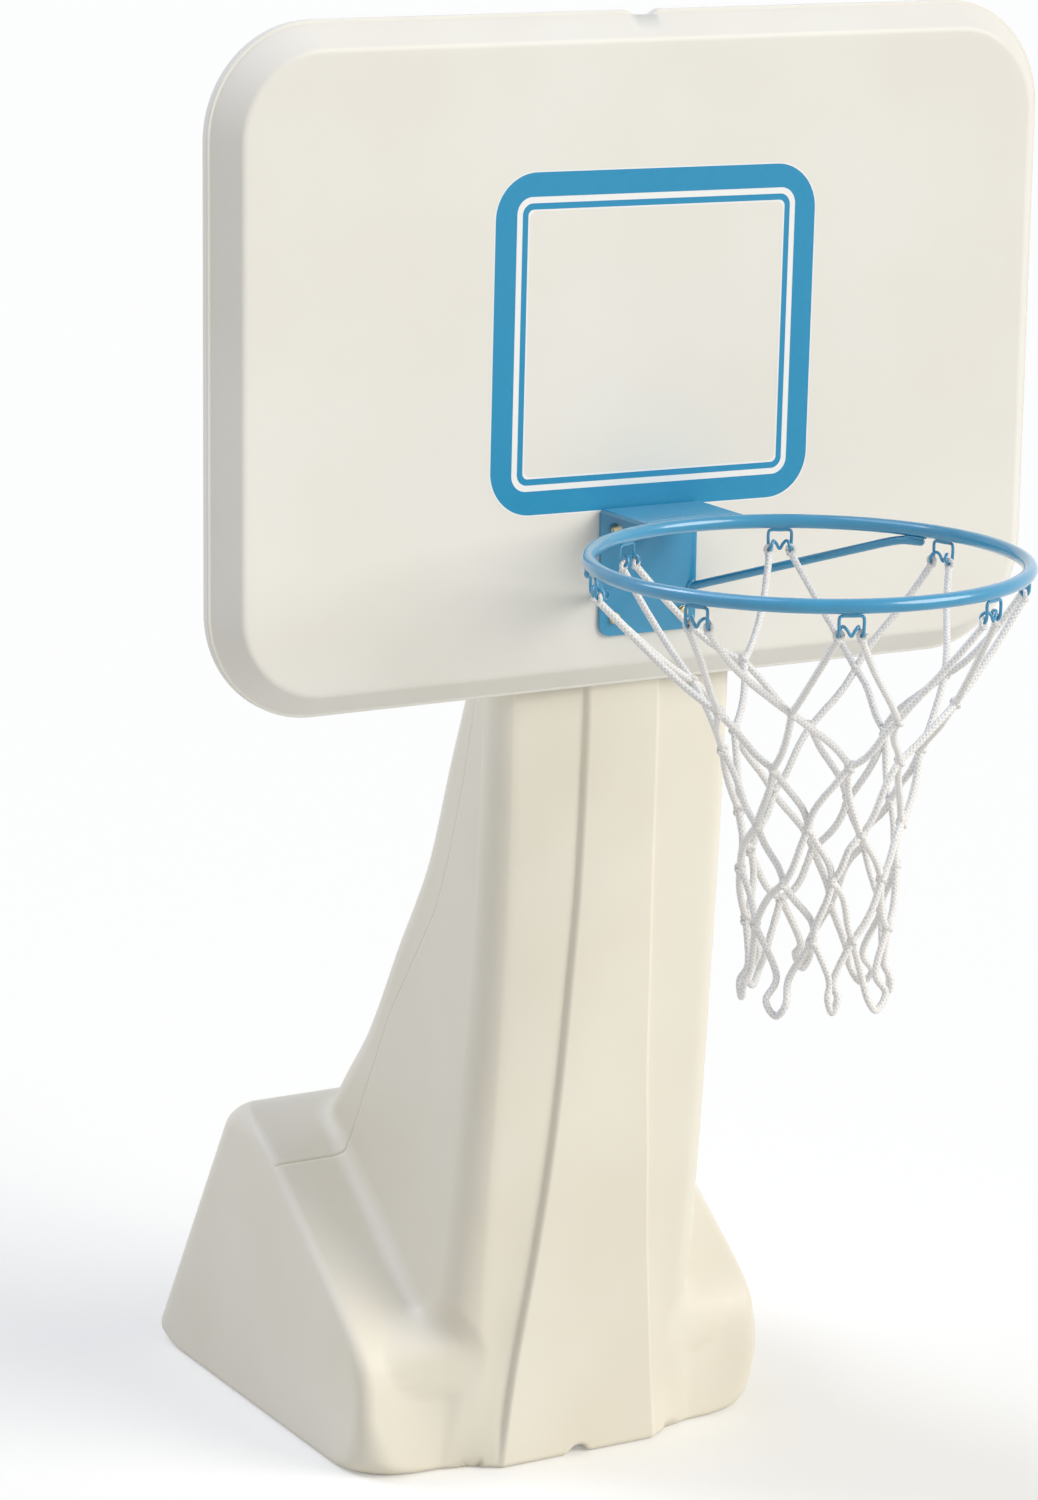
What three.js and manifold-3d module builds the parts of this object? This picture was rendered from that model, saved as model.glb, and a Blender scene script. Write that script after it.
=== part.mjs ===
// Poolside basketball hoop: a hollow water-ballasted stand whose column leans out over the pool,
// a hollow backboard with bevelled edges, and a steel rim with its bracket, braces, hooks and net.
// Millimetres. X is to the right of a player who faces the hoop, Y points back over the deck and
// Z is up. The origin is the middle of the stand's footprint on the floor.

import * as THREE from 'three';
import { mergeVertices } from 'three/addons/utils/BufferGeometryUtils.js';
import Module from 'manifold-3d';

const wasm = await Module();
wasm.setup();

// Shared
const gap = 0.3;
const overrun = 4;
const full_turn = 360;
const round_sides = 20;
const small_round_sides = 12;
const small_round_radius = 10;
const corner_steps = 3;
const edge_steps = 3;

// Tank at the foot of the stand
const base_width = 562;
const base_depth = 597;
const shoulder_height = 371;
const ridge_foot_height = 150;
const ridge_run = 320;
const rear_run = 200;
const side_taper = 7;
const base_wall = 6;
const floor_edge_radius = 8;
const shoulder_edge_radius = 34;
const front_corner_radius = 50;
const front_round_height = 90;
const ridge_radius = 16;
const rear_corner_radius = 28;
const shoulder_rear_radius = 40;
const roll_over = 44;
const tank_level_shares = [0.15, 0.24, 0.31, 0.36, 0.42, 0.5, 0.7];

// Column that leans forward from the tank to the board
const column_lead = 92;
const column_width = 316;
const column_foot_depth = 405;
const column_corner_radius = 50;
const column_top_corner_radius = 28;
const column_height_shares = [0, 0.14, 0.27, 0.39, 0.51, 0.63, 0.76, 0.88, 0.97, 1];
const column_lead_shares = [0, 0.2, 0.385, 0.545, 0.68, 0.8, 0.905, 0.97, 1, 1];
const column_width_shares = [1.12, 1.1, 1.08, 1.06, 1.04, 1.02, 1.01, 1, 1, 1];
const column_depth_shares = [0.89, 0.94, 0.95, 0.93, 0.74, 0.6, 0.435, 0.34, 0.255, 0.222];

// Neck of the column, behind the board
const neck_height = 413;
const neck_seat_depth = 80;
const neck_height_shares = [0.15, 0.56, 0.93, 0.985, 1];
const neck_width_shares = [0.97, 0.9, 0.8, 0.76, 0.66];
const neck_depth_shares = [1, 1, 0.7, 0.66, 0.5];

// Raised rib down the middle of the front
const rib_width = 96;
const rib_stand = 30;
const rib_flank = 3;
const rib_width_shares = [2.25, 1.96, 1.65, 1.43, 1.25, 1.15, 1.05, 1.02, 1, 1];
const rib_stand_shares = [1, 0.7, 0.63, 0.6, 0.5, 0.45, 0.42, 0.4, 0.4, 0.4];
const notch_radius = 16;
const notch_drop = 6;

// Backboard
const board_width = 1076;
const board_height = 766;
const board_corner_radius = 127;
const board_edge_band = 13;
const board_bevel_depth = 30;
const board_bevel_inset = 29;
const board_edge_round = 3;
const board_wall = 4;
const board_corner_steps = 5;
const board_notch_width = 44;
const board_notch_floor = 12;
const board_notch_depth = 6;
const board_vent_radius = 4;
const board_vent_side = 300;
const board_vent_rise = 60;

// Rim, its bracket and its braces
const ring_height = 1183;
const ring_above_board_bottom = 206;
const ring_inner_diameter = 457;
const ring_rod = 16;
const ring_reach = 337;
const ring_sides = 8;
const ring_steps = 56;
const bracket_width = 127;
const bracket_drop = 148;
const bracket_thickness = 5;
const bracket_rise = 7;
const bracket_bend_radius = 8;
const bracket_bend_steps = 4;
const bracket_corner_radius = 14;
const brace_rod = 10;
const brace_sides = 8;
const brace_steps = 10;
const brace_foot_side = 58;
const brace_foot_drop = 99;
const brace_angle = 27;
const brace_landing = 20;

// Wire hooks under the ring, mirrored to the left side
const hook_angles = [65, 18, -28, -68];
const hook_wire = 3.6;
const hook_width = 26;
const hook_drop = 25;
const hook_curl = 9;
const hook_sides = 4;
const hook_steps = 10;

// Half of a hook, from the middle of its back to its low point: across, inward and down
const hook_path_shares = [
  [0, 0, 0],
  [0.75, 0, 0],
  [1, 0, 0.14],
  [1, 0, 0.75],
  [0.99, 0.25, 1],
  [0.92, 0.75, 1],
  [0.8, 1, 0.8],
  [0.68, 0.7, 0.58],
  [0.54, 0.2, 0.56],
  [0.3, 0, 0.72],
  [0, 0, 1],
];

// Cord net
const cord = 7.4;
const cord_loop = 4.2;
const cord_tolerance = 0.8;
const cord_sides = 4;
const strand_steps = 2;
const low_loop_steps = 6;
const eye_sides = 4;
const eye_steps = 7;
const knot_size = 13;
const net_rows_below_ring = [140, 203, 278, 335, 398];
const net_row_radii = [145, 109, 90, 86, 78];
const net_bottom = 483;
const net_bottom_radius = 82;
const net_sway_side = 17;
const net_sway_front = 10;
const eye_place_share = 0.95;
const knot_leave_share = 0.3;
const first_bulge_share = -1;
const bulge_share = 0.4;
const low_loop_share = 0.22;

// How far each knot has slipped round the net and down it, as a share of the knots' spacing
const knot_turn_shares = [
  [0.05, -0.08, 0.03, 0.1, -0.05, 0.05, -0.1, 0],
  [-0.1, 0.08, 0, -0.05, 0.1, -0.08, 0.05, 0.08],
  [0.08, 0.05, -0.1, 0.05, -0.05, 0.1, 0.03, -0.08],
  [-0.05, 0.1, 0.05, -0.1, 0.08, -0.1, 0.12, -0.05],
  [0.1, -0.1, 0.08, -0.05, 0.05, -0.12, 0.15, -0.08],
];
const knot_drop_shares = [
  [0.03, -0.05, 0.05, -0.03, 0, 0.05, -0.03, 0.03],
  [-0.05, 0.08, 0, 0.05, -0.08, 0.03, 0.05, -0.05],
  [0.05, -0.05, 0.08, -0.05, 0.05, 0, -0.08, 0.05],
  [0, 0.05, -0.08, 0.08, -0.05, 0.05, 0.05, -0.05],
  [0.05, -0.03, 0.05, -0.08, 0.08, -0.05, 0.03, 0.05],
];
const low_loop_drop_shares = [-0.05, 0.03, -0.08, 0.05, 0, 0.06, -0.04, 0.02];

// Bolts that hold the rim and the board to the neck
const bolt_diameter = 6.4;
const bolt_clearance = 0.3;
const bolt_pitch_across = 90;
const bolt_pitch_up = 102;
const bolt_bottom_margin = 21;
const bolt_head_flats = 11.1;
const bolt_head_height = 4.4;
const bolt_flange = 13;
const bolt_flange_height = 1.4;
const bolt_tail = 3;
const sleeve_diameter = 24;
const nut_height = 7;
const washer_diameter = 18;
const washer_thickness = 1.6;
const backing_plate_width = 127;
const backing_plate_height = 150;
const backing_plate_thickness = 3;
const pad_margin = 12;

// Tab at the top of the neck, screwed to inserts in the board
const tab_width = 160;
const tab_height = 90;
const tab_thickness = 14;
const tab_overlap = 40;
const tab_corner_radius = 18;
const tab_screw_pitch = 100;
const tab_screw_margin = 32;
const insert_diameter = 14;
const insert_length = 18;
const insert_boss_diameter = 26;
const insert_boss_floor = 6;

// Filler on the right shoulder
const filler_column_margin = 58;
const filler_back = 45;
const filler_neck_diameter = 48;
const filler_bore = 38;
const filler_rise = 16;
const filler_root = 22;
const cap_diameter = 60;
const cap_roof = 4;
const cap_lift_gap = 2;
const cap_scallops = 12;
const cap_scallop_steps = 3;
const cap_scallop_depth = 1.4;
const gasket_thickness = 2.5;

// Drain on the right side, near the floor
const drain_height = 45;
const drain_back = 150;
const drain_boss_diameter = 50;
const drain_boss_proud = 2;
const drain_boss_length = 24;
const drain_bore = 22.6;
const plug_flange_diameter = 36;
const plug_flange_thickness = 4;
const plug_shank_length = 21;
const plug_grip_length = 26;
const plug_grip_thickness = 7;
const plug_grip_height = 11;
const oring_section = 3;
const oring_pitch_diameter = 28;
const oring_sides = 6;

// Water in the tank
const fill_level = 300;
const water_gap = 0.5;

// Places that several pieces share
const base_front = -base_depth / 2;
const base_rear = base_depth / 2;
const board_bottom = ring_height - ring_above_board_bottom;
const panel_top_y = base_front - column_lead;
const rib_face_top_y = panel_top_y - rib_stand * rib_stand_shares.at(-1);
const board_back_y = rib_face_top_y - gap;
const board_thickness = board_edge_band + board_bevel_depth;
const board_face_y = board_back_y - board_thickness;
const neck_top = board_bottom + neck_height;
const neck_seat_y = panel_top_y + neck_seat_depth;
const ring_radius = (ring_inner_diameter + ring_rod) / 2;
const ring_y = board_face_y - ring_reach;
const bracket_top = ring_height + bracket_rise;
const bracket_bottom = bracket_top - bracket_drop;
const bracket_back_y = board_face_y - gap;
const bracket_face_y = bracket_back_y - bracket_thickness;
const bolt_radius = bolt_diameter / 2;
const bolt_hole_radius = bolt_radius + bolt_clearance;
const low_bolt_row = bracket_bottom + bolt_bottom_margin;
const bolt_rows = [low_bolt_row, low_bolt_row + bolt_pitch_up];
const bolt_columns = [-bolt_pitch_across / 2, bolt_pitch_across / 2];
const pattern_middle = low_bolt_row + bolt_pitch_up / 2;
const tab_top = neck_top - tab_overlap + tab_height;
const tab_screw_height = tab_top - tab_screw_margin;
const tab_back_y = rib_face_top_y + tab_thickness;
const filler_side = column_width / 2 + filler_column_margin;
const filler_top = shoulder_height + filler_rise;

// Looks of the materials
const looks = {
  stand: [0xe9e1cf, 0.5, 0],
  board: [0xe8e5de, 0.45, 0],
  blue: [0x3a93c0, 0.25, 0.3],
  cord: [0xf0ece8, 0.85, 0],
  bolt: [0xc6b48a, 0.3, 0.9],
  steel: [0xb4b8bc, 0.35, 0.9],
  brass: [0xc9a24a, 0.35, 0.9],
  cap: [0x4f5963, 0.5, 0],
  rubber: [0x26282a, 0.8, 0],
  water: [0x9fd3e8, 0.05, 0],
};

const hoop = new THREE.Group();

function place(name, geometry, look) {
  const [color, roughness, metalness] = looks[look];
  const material = new THREE.MeshStandardMaterial({ color, roughness, metalness });
  const mesh = new THREE.Mesh(geometry, material);
  mesh.name = name;
  hoop.add(mesh);
  return mesh;
}

// Solids for boolean work
function solidOf(geometry) {
  const bare = new THREE.BufferGeometry();
  bare.setAttribute('position', geometry.getAttribute('position'));
  bare.setIndex(geometry.getIndex());
  const merged = mergeVertices(bare);
  const vertProperties = Float32Array.from(merged.getAttribute('position').array);
  const triVerts = Uint32Array.from(merged.getIndex().array);
  return new wasm.Manifold(new wasm.Mesh({ numProp: 3, vertProperties, triVerts }));
}

function geometryOf(solid) {
  const mesh = solid.getMesh();
  const geometry = new THREE.BufferGeometry();
  const positions = new THREE.BufferAttribute(mesh.vertProperties, mesh.numProp);
  geometry.setAttribute('position', positions);
  geometry.setIndex(new THREE.BufferAttribute(mesh.triVerts, 1));
  geometry.computeVertexNormals();
  return geometry;
}

function boxSolid(x, y, z) {
  const size = [x[1] - x[0], y[1] - y[0], z[1] - z[0]];
  const geometry = new THREE.BoxGeometry(...size);
  geometry.translate(x[0] + size[0] / 2, y[0] + size[1] / 2, z[0] + size[2] / 2);
  return solidOf(geometry);
}

// Cylinder along one axis from one place to another, centred on the two other coordinates
function rod(axis, from, to, centre, radius, sides) {
  const usual_sides = radius > small_round_radius ? round_sides : small_round_sides;
  const geometry = new THREE.CylinderGeometry(radius, radius, to - from, sides ?? usual_sides);
  geometry.translate(0, (from + to) / 2, 0);
  if (axis === 'x') geometry.rotateZ(-Math.PI / 2).translate(0, centre[0], centre[1]);
  if (axis === 'y') geometry.translate(centre[0], 0, centre[1]);
  if (axis === 'z') geometry.rotateX(Math.PI / 2).translate(centre[0], centre[1], 0);
  return solidOf(geometry);
}

function hexRod(from, to, centre, flats) {
  return rod('y', from, to, centre, flats / 2 / Math.cos(Math.PI / 6), 6);
}

function turned(profile) {
  const points = [...profile, profile[0]].map(([r, z]) => new THREE.Vector2(r, z));
  const geometry = new THREE.LatheGeometry(points, round_sides);
  geometry.rotateX(Math.PI / 2);
  return geometry;
}

// Closed skin through a stack of outlines that have equal counts of points
function loft(rings) {
  const count = rings[0].length;
  const points = rings.flat();
  const index = [];
  for (let level = 0; level + 1 < rings.length; level += 1) {
    for (let i = 0; i < count; i += 1) {
      const a = level * count + i;
      const b = level * count + ((i + 1) % count);
      index.push(a, b, b + count, a, b + count, a + count);
    }
  }
  const last = (rings.length - 1) * count;
  const middles = [0, last].map((start) => {
    const middle = new THREE.Vector3();
    points.slice(start, start + count).forEach((point) => middle.addScaledVector(point, 1 / count));
    return points.push(middle) - 1;
  });
  for (let i = 0; i < count; i += 1) {
    const next = (i + 1) % count;
    index.push(middles[0], next, i);
    index.push(middles[1], last + i, last + next);
  }
  const geometry = new THREE.BufferGeometry().setFromPoints(points);
  geometry.setIndex(index);
  return geometry;
}

// Rectangle with round corners, anticlockwise: its two front and two rear corners may differ
function roundedOutline(half, front, rear, front_radius, rear_radius, steps = corner_steps) {
  const corners = [
    [half - rear_radius, rear - rear_radius, rear_radius],
    [rear_radius - half, rear - rear_radius, rear_radius],
    [front_radius - half, front + front_radius, front_radius],
    [half - front_radius, front + front_radius, front_radius],
  ];
  return corners.flatMap(([x, y, radius], corner) =>
    Array.from({ length: steps + 1 }, (_, step) => {
      const angle = (corner + step / steps) * (Math.PI / 2);
      return [x + radius * Math.cos(angle), y + radius * Math.sin(angle)];
    }),
  );
}

function atHeight(outline, height) {
  return outline.map(([x, y]) => new THREE.Vector3(x, y, height));
}

function smoothMax(a, b, blend) {
  return (a + b + Math.hypot(a - b, blend)) / 2;
}

// How far a rounded edge draws in at each step from the flat face to the wall
function edgeSteps(radius) {
  return Array.from({ length: edge_steps + 1 }, (_, step) => {
    const angle = (step / edge_steps) * (Math.PI / 2);
    return [radius * (1 - Math.cos(angle)), radius * (1 - Math.sin(angle))];
  });
}

// Tank: level outlines, drawn in by an inset for the inner skin
function tankOutline(height, inset, edge) {
  const cot = ridge_run / (shoulder_height - ridge_foot_height);
  const slope_inset = inset * Math.hypot(1, cot);
  const ridge = (height - ridge_foot_height) * cot + slope_inset;
  const front = base_front + smoothMax(inset, ridge, roll_over) + Math.min(edge, floor_edge_radius);
  const rear_slope = rear_run / shoulder_height;
  const rear = base_rear - height * rear_slope - inset * Math.hypot(1, rear_slope) - edge;
  const half = base_width / 2 - (side_taper * height) / shoulder_height - inset - edge;
  const { smoothstep, lerp } = THREE.MathUtils;
  const above = smoothstep(height, 0, front_round_height);
  const front_radius = lerp(front_corner_radius, ridge_radius, above) - inset;
  const full_radius = lerp(rear_corner_radius, shoulder_rear_radius, height / shoulder_height);
  const rear_radius = Math.min(full_radius - inset, rear - front - front_radius - ridge_radius);
  return roundedOutline(half, front, rear, front_radius, rear_radius);
}

function tankSkin(inset, top = shoulder_height) {
  const foot = edgeSteps(floor_edge_radius);
  const middle = tank_level_shares.map((share) => [share * shoulder_height, 0]);
  const head = edgeSteps(shoulder_edge_radius).map(([drop, edge]) => [shoulder_height - drop, edge]);
  const levels = [...foot, ...middle, ...head.reverse()].filter(([height]) => height < top);
  if (top < shoulder_height) levels.push([top, 0]);
  const scale = (top - (top < shoulder_height ? inset : 2 * inset)) / top;
  return loft(
    levels.map(([height, edge]) => {
      const level = inset + height * scale;
      return atHeight(tankOutline(level, inset, edge), level);
    }),
  );
}

// Column and neck: one list of levels from the floor to the top of the neck
function columnLevels() {
  const lower = column_height_shares.map((share, i) => ({
    height: share * board_bottom,
    front: base_front - column_lead * column_lead_shares[i],
    depth: column_foot_depth * column_depth_shares[i],
    half: (column_width / 2) * column_width_shares[i],
    face: rib_stand * rib_stand_shares[i],
    rib: (rib_width / 2) * rib_width_shares[i],
  }));
  const neck = neck_height_shares.map((share, i) => ({
    height: board_bottom + share * neck_height,
    front: panel_top_y,
    depth: neck_seat_depth * neck_depth_shares[i],
    half: (column_width / 2) * neck_width_shares[i],
    face: rib_stand * rib_stand_shares.at(-1),
    rib: (rib_width / 2) * rib_width_shares.at(-1),
  }));
  const levels = [...lower, ...neck];
  const [first, second] = levels;
  const foot = edgeSteps(floor_edge_radius).map(([rise, edge]) => {
    const share = rise / second.height;
    const mixed = Object.entries(first).map(([key, value]) => [
      key,
      THREE.MathUtils.lerp(value, second[key], share),
    ]);
    return { ...Object.fromEntries(mixed), edge };
  });
  return [...foot, ...levels.slice(1).map((level) => ({ ...level, edge: 0 }))];
}

function columnSkin(inset) {
  const levels = columnLevels();
  const scale = (neck_top - 2 * inset) / neck_top;
  return loft(
    levels.map((level) => {
      const up = Math.min(level.height / board_bottom, 1);
      const radius = THREE.MathUtils.lerp(column_corner_radius, column_top_corner_radius, up);
      const drawn = inset + level.edge;
      const front = level.front + drawn;
      const rear = level.front + level.depth - drawn;
      const rear_radius = Math.min(radius, (rear - front) / 2 - gap);
      const front_radius = Math.min(radius - inset, rear_radius);
      const outline = roundedOutline(level.half - drawn, front, rear, front_radius, rear_radius);
      return atHeight(outline, inset + level.height * scale);
    }),
  );
}

function ribSkin(inset) {
  const scale = (neck_top - 2 * inset) / neck_top;
  const embed = 2 * base_wall + inset;
  return loft(
    columnLevels().map((level) => {
      const drawn = inset + level.edge;
      const face = level.front - level.face + drawn;
      const root = level.front + embed;
      const half = level.rib - drawn;
      const root_half = half + (rib_flank * (root - face)) / level.face;
      const outline = [
        [root_half, root],
        [-root_half, root],
        [-half, face],
        [half, face],
      ];
      return atHeight(outline, inset + level.height * scale);
    }),
  );
}

function flatPlate(half, bottom, top, front, rear, radius) {
  const outline = roundedOutline(half, bottom, top, radius, radius);
  const rings = [rear, front].map((y) => outline.map(([x, z]) => new THREE.Vector3(x, y, z)));
  return solidOf(loft(rings));
}

function boltPlaces() {
  return bolt_rows.flatMap((z) => bolt_columns.map((x) => [x, z]));
}

function tabScrewPlaces() {
  return [-1, 1].map((side) => [(side * tab_screw_pitch) / 2, tab_screw_height]);
}

function standShell() {
  const pad_half = bolt_pitch_across / 2 + sleeve_diameter / 2 + pad_margin / 2;
  const pad_bottom = bolt_rows[0] - sleeve_diameter / 2 - pad_margin;
  const pad_top = bolt_rows[1] + sleeve_diameter / 2 + pad_margin;
  const pad_rear = panel_top_y + base_wall;
  const pad = boxSolid([-pad_half, pad_half], [rib_face_top_y, pad_rear], [pad_bottom, pad_top]);
  const tab_bottom = tab_top - tab_height;
  const tab = flatPlate(tab_width / 2, tab_bottom, tab_top, rib_face_top_y, tab_back_y, tab_corner_radius);
  const filler_centre = [filler_side, filler_back];
  const filler_from = shoulder_height - filler_root;
  const filler = rod('z', filler_from, filler_top, filler_centre, filler_neck_diameter / 2);
  const drain_centre = [drain_back, drain_height];
  const drain_face = base_width / 2 + drain_boss_proud;
  const drain_from = drain_face - drain_boss_length;
  const drain = rod('x', drain_from, drain_face, drain_centre, drain_boss_diameter / 2);
  const sleeve_from = rib_face_top_y + base_wall / 2;
  const sleeves = boltPlaces().map((centre) =>
    rod('y', sleeve_from, neck_seat_y - base_wall / 2, centre, sleeve_diameter / 2),
  );
  const cavity = solidOf(tankSkin(base_wall))
    .add(solidOf(columnSkin(base_wall)))
    .add(solidOf(ribSkin(base_wall)));
  let shell = solidOf(tankSkin(0)).add(solidOf(columnSkin(0))).add(solidOf(ribSkin(0)));
  shell = shell.add(pad).subtract(cavity).add(tab).add(filler).add(drain);
  sleeves.forEach((sleeve) => {
    shell = shell.add(sleeve);
  });
  const hole_from = rib_face_top_y - overrun;
  boltPlaces().forEach((centre) => {
    shell = shell.subtract(rod('y', hole_from, neck_seat_y + overrun, centre, bolt_hole_radius));
  });
  tabScrewPlaces().forEach((centre) => {
    shell = shell.subtract(rod('y', hole_from, tab_back_y + overrun, centre, bolt_hole_radius));
  });
  const bore_from = filler_from - overrun;
  shell = shell.subtract(rod('z', bore_from, filler_top + overrun, filler_centre, filler_bore / 2));
  const drain_to = drain_face + overrun;
  shell = shell.subtract(rod('x', drain_from - overrun, drain_to, drain_centre, drain_bore / 2));
  const rib_front = base_front - rib_stand - overrun;
  return shell.subtract(rod('y', rib_front, base_front, [0, -notch_drop], notch_radius));
}

// Backboard: outlines stacked from its back to its face
function boardSkin(inset) {
  const bevel_share = board_bevel_inset / board_bevel_depth;
  const bevel_start = board_edge_band + board_edge_round;
  const bevel_end = board_thickness - board_edge_round;
  const levels = [
    [0, board_edge_round],
    [board_edge_round, 0],
    [board_edge_band, 0],
    [bevel_start, board_edge_round * bevel_share],
    [bevel_end, board_bevel_inset - board_edge_round * bevel_share],
    [board_thickness, board_bevel_inset + board_edge_round],
  ];
  const scale = (board_thickness - 2 * inset) / board_thickness;
  const middle = board_bottom + board_height / 2;
  return loft(
    levels.map(([depth, edge]) => {
      const drawn = edge + inset;
      const half_height = board_height / 2 - drawn;
      const sides = [board_width / 2 - drawn, -half_height, half_height];
      const radius = board_corner_radius - drawn;
      const outline = roundedOutline(...sides, radius, radius, board_corner_steps);
      const y = board_back_y - inset - depth * scale;
      return outline.map(([x, z]) => new THREE.Vector3(x, y, middle + z));
    }),
  );
}

function boardShell() {
  let shell = solidOf(boardSkin(0)).subtract(solidOf(boardSkin(board_wall)));
  const sleeve_from = board_face_y + board_wall / 2;
  const sleeve_to = board_back_y - board_wall / 2;
  const through = [board_face_y - overrun, board_back_y + overrun];
  boltPlaces().forEach((centre) => {
    shell = shell.add(rod('y', sleeve_from, sleeve_to, centre, sleeve_diameter / 2));
    shell = shell.subtract(rod('y', ...through, centre, bolt_hole_radius));
  });
  const pocket_floor = board_back_y - insert_length - 2 * gap;
  tabScrewPlaces().forEach((centre) => {
    const boss_from = pocket_floor - insert_boss_floor;
    shell = shell.add(rod('y', boss_from, sleeve_to, centre, insert_boss_diameter / 2));
    shell = shell.subtract(rod('y', pocket_floor, through[1], centre, insert_diameter / 2 + gap));
  });
  const vent = [board_vent_side, board_bottom + board_vent_rise];
  const vent_from = board_back_y - board_wall - overrun;
  shell = shell.subtract(rod('y', vent_from, through[1], vent, board_vent_radius));
  return shell.subtract(boardNotch());
}

function boardNotch() {
  const top = board_bottom + board_height;
  const flare = (board_notch_width - board_notch_floor) / (2 * board_notch_depth);
  const profile = [
    [board_notch_floor / 2 + flare * (board_notch_depth + overrun), top + overrun],
    [-board_notch_floor / 2 - flare * (board_notch_depth + overrun), top + overrun],
    [-board_notch_floor / 2, top - board_notch_depth / 2],
    [board_notch_floor / 2, top - board_notch_depth / 2],
  ];
  const faces = [board_back_y + overrun, board_back_y - board_edge_band];
  return solidOf(loft(faces.map((y) => profile.map(([x, z]) => new THREE.Vector3(x, y, z)))));
}

// Rim
function ringTorus(extra) {
  const section_radius = ring_rod / 2 + extra;
  const geometry = new THREE.TorusGeometry(ring_radius, section_radius, ring_sides, ring_steps);
  return geometry.translate(0, ring_y, ring_height);
}

function rimBracket() {
  const shelf_reach = ring_reach - ring_radius + ring_rod / 2;
  const inner_bend = bracket_bend_radius - bracket_thickness;
  const bend = [bracket_bend_radius, bracket_top - bracket_bend_radius];
  const profile = new THREE.Shape();
  profile.moveTo(0, bracket_bottom);
  profile.lineTo(bracket_thickness, bracket_bottom);
  profile.lineTo(bracket_thickness, bracket_top - bracket_bend_radius);
  profile.absarc(...bend, inner_bend, Math.PI, Math.PI / 2, true);
  profile.lineTo(shelf_reach, bracket_top - bracket_thickness);
  profile.lineTo(shelf_reach, bracket_top);
  profile.lineTo(bracket_bend_radius, bracket_top);
  profile.absarc(...bend, bracket_bend_radius, Math.PI / 2, Math.PI, false);
  const geometry = new THREE.ExtrudeGeometry(profile, {
    depth: bracket_width,
    bevelEnabled: false,
    curveSegments: bracket_bend_steps,
  });
  const forward = new THREE.Vector3(0, -1, 0);
  const up = new THREE.Vector3(0, 0, 1);
  const across = new THREE.Vector3().crossVectors(forward, up);
  geometry.applyMatrix4(new THREE.Matrix4().makeBasis(forward, up, across));
  geometry.translate(bracket_width / 2, bracket_back_y, 0);
  const half = bracket_width / 2;
  const outline_top = bracket_top + bracket_corner_radius + overrun;
  const span = [bracket_back_y - shelf_reach - overrun, bracket_back_y + overrun];
  const outline = flatPlate(half, bracket_bottom, outline_top, ...span, bracket_corner_radius);
  const bore = rod('z', bracket_bottom, outline_top, [0, ring_y], ring_radius, ring_steps);
  const blank = solidOf(geometry).intersect(outline).subtract(solidOf(ringTorus(gap))).subtract(bore);
  return boltPlaces().reduce((bracket, centre) => {
    const hole = rod('y', bracket_face_y - overrun, span[1], centre, bolt_hole_radius);
    return bracket.subtract(hole);
  }, blank);
}

function circleShape(radius, sides) {
  const points = Array.from({ length: sides }, (_, i) => {
    const angle = (i / sides) * 2 * Math.PI;
    return new THREE.Vector2(radius * Math.cos(angle), radius * Math.sin(angle));
  });
  return new THREE.Shape(points);
}

function tube(points, radius, sides, steps) {
  const extrudePath = points.length === 2
    ? new THREE.LineCurve3(...points)
    : new THREE.CatmullRomCurve3(points, false, 'centripetal');
  return solidOf(new THREE.ExtrudeGeometry(circleShape(radius, sides), { steps, extrudePath }));
}

function brace(side) {
  const angle = THREE.MathUtils.degToRad(brace_angle);
  const level = ring_height - ring_rod / 2 - gap - brace_rod / 2;
  const foot_height = bracket_top - brace_foot_drop;
  const foot = new THREE.Vector3(side * brace_foot_side, bracket_face_y, foot_height);
  const x = side * ring_radius * Math.cos(angle);
  const head = new THREE.Vector3(x, ring_y + ring_radius * Math.sin(angle), level);
  const along = head.clone().sub(foot);
  const flat = along.clone().setZ(0).normalize();
  const landing = head.clone().addScaledVector(flat, -brace_landing);
  const slope = landing.clone().sub(foot).normalize();
  const root = foot.clone().addScaledVector(slope, -brace_rod);
  const knee = landing.clone().addScaledVector(slope, -brace_landing);
  const tip = head.clone().addScaledVector(flat, brace_landing / 2);
  const halfway = root.clone().lerp(knee, 0.5);
  const path = [root, halfway, knee, landing, head, tip];
  const bar = tube(path, brace_rod / 2, brace_sides, brace_steps);
  const wall = [bracket_face_y - gap, bracket_face_y + 2 * brace_rod];
  return bar.subtract(boxSolid([-bracket_width, bracket_width], wall, [0, bracket_top]));
}

// Hook wire in its own frame: X along the ring, Y towards the middle of the ring, Z up
function hookHeights() {
  const top = -ring_rod / 2 - gap - hook_wire / 2;
  return [top, top - hook_drop + hook_wire];
}

function hookWire() {
  const [top, low] = hookHeights();
  const leg = hook_width / 2;
  return [1, -1].map((side) =>
    hook_path_shares.map(([across, inward, down]) =>
      new THREE.Vector3(side * leg * across, hook_curl * inward, top + (low - top) * down),
    ),
  );
}

function hookGeometry() {
  const overlap = hook_wire / 4;
  const halves = hookWire().map((points, i) => {
    const side = i === 0 ? 1 : -1;
    const start = points[0].clone().setX(-side * overlap);
    const end = points.at(-1).clone().setX(-side * overlap);
    return tube([start, ...points.slice(1, -1), end], hook_wire / 2, hook_sides, hook_steps);
  });
  return geometryOf(halves[0].add(halves[1]));
}

function allHookAngles() {
  return [...hook_angles].reverse().concat(hook_angles.map((angle) => 180 - angle));
}

function ringPoint(degrees) {
  const angle = THREE.MathUtils.degToRad(degrees);
  return new THREE.Vector3(Math.cos(angle), Math.sin(angle), 0).multiplyScalar(ring_radius);
}

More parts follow.
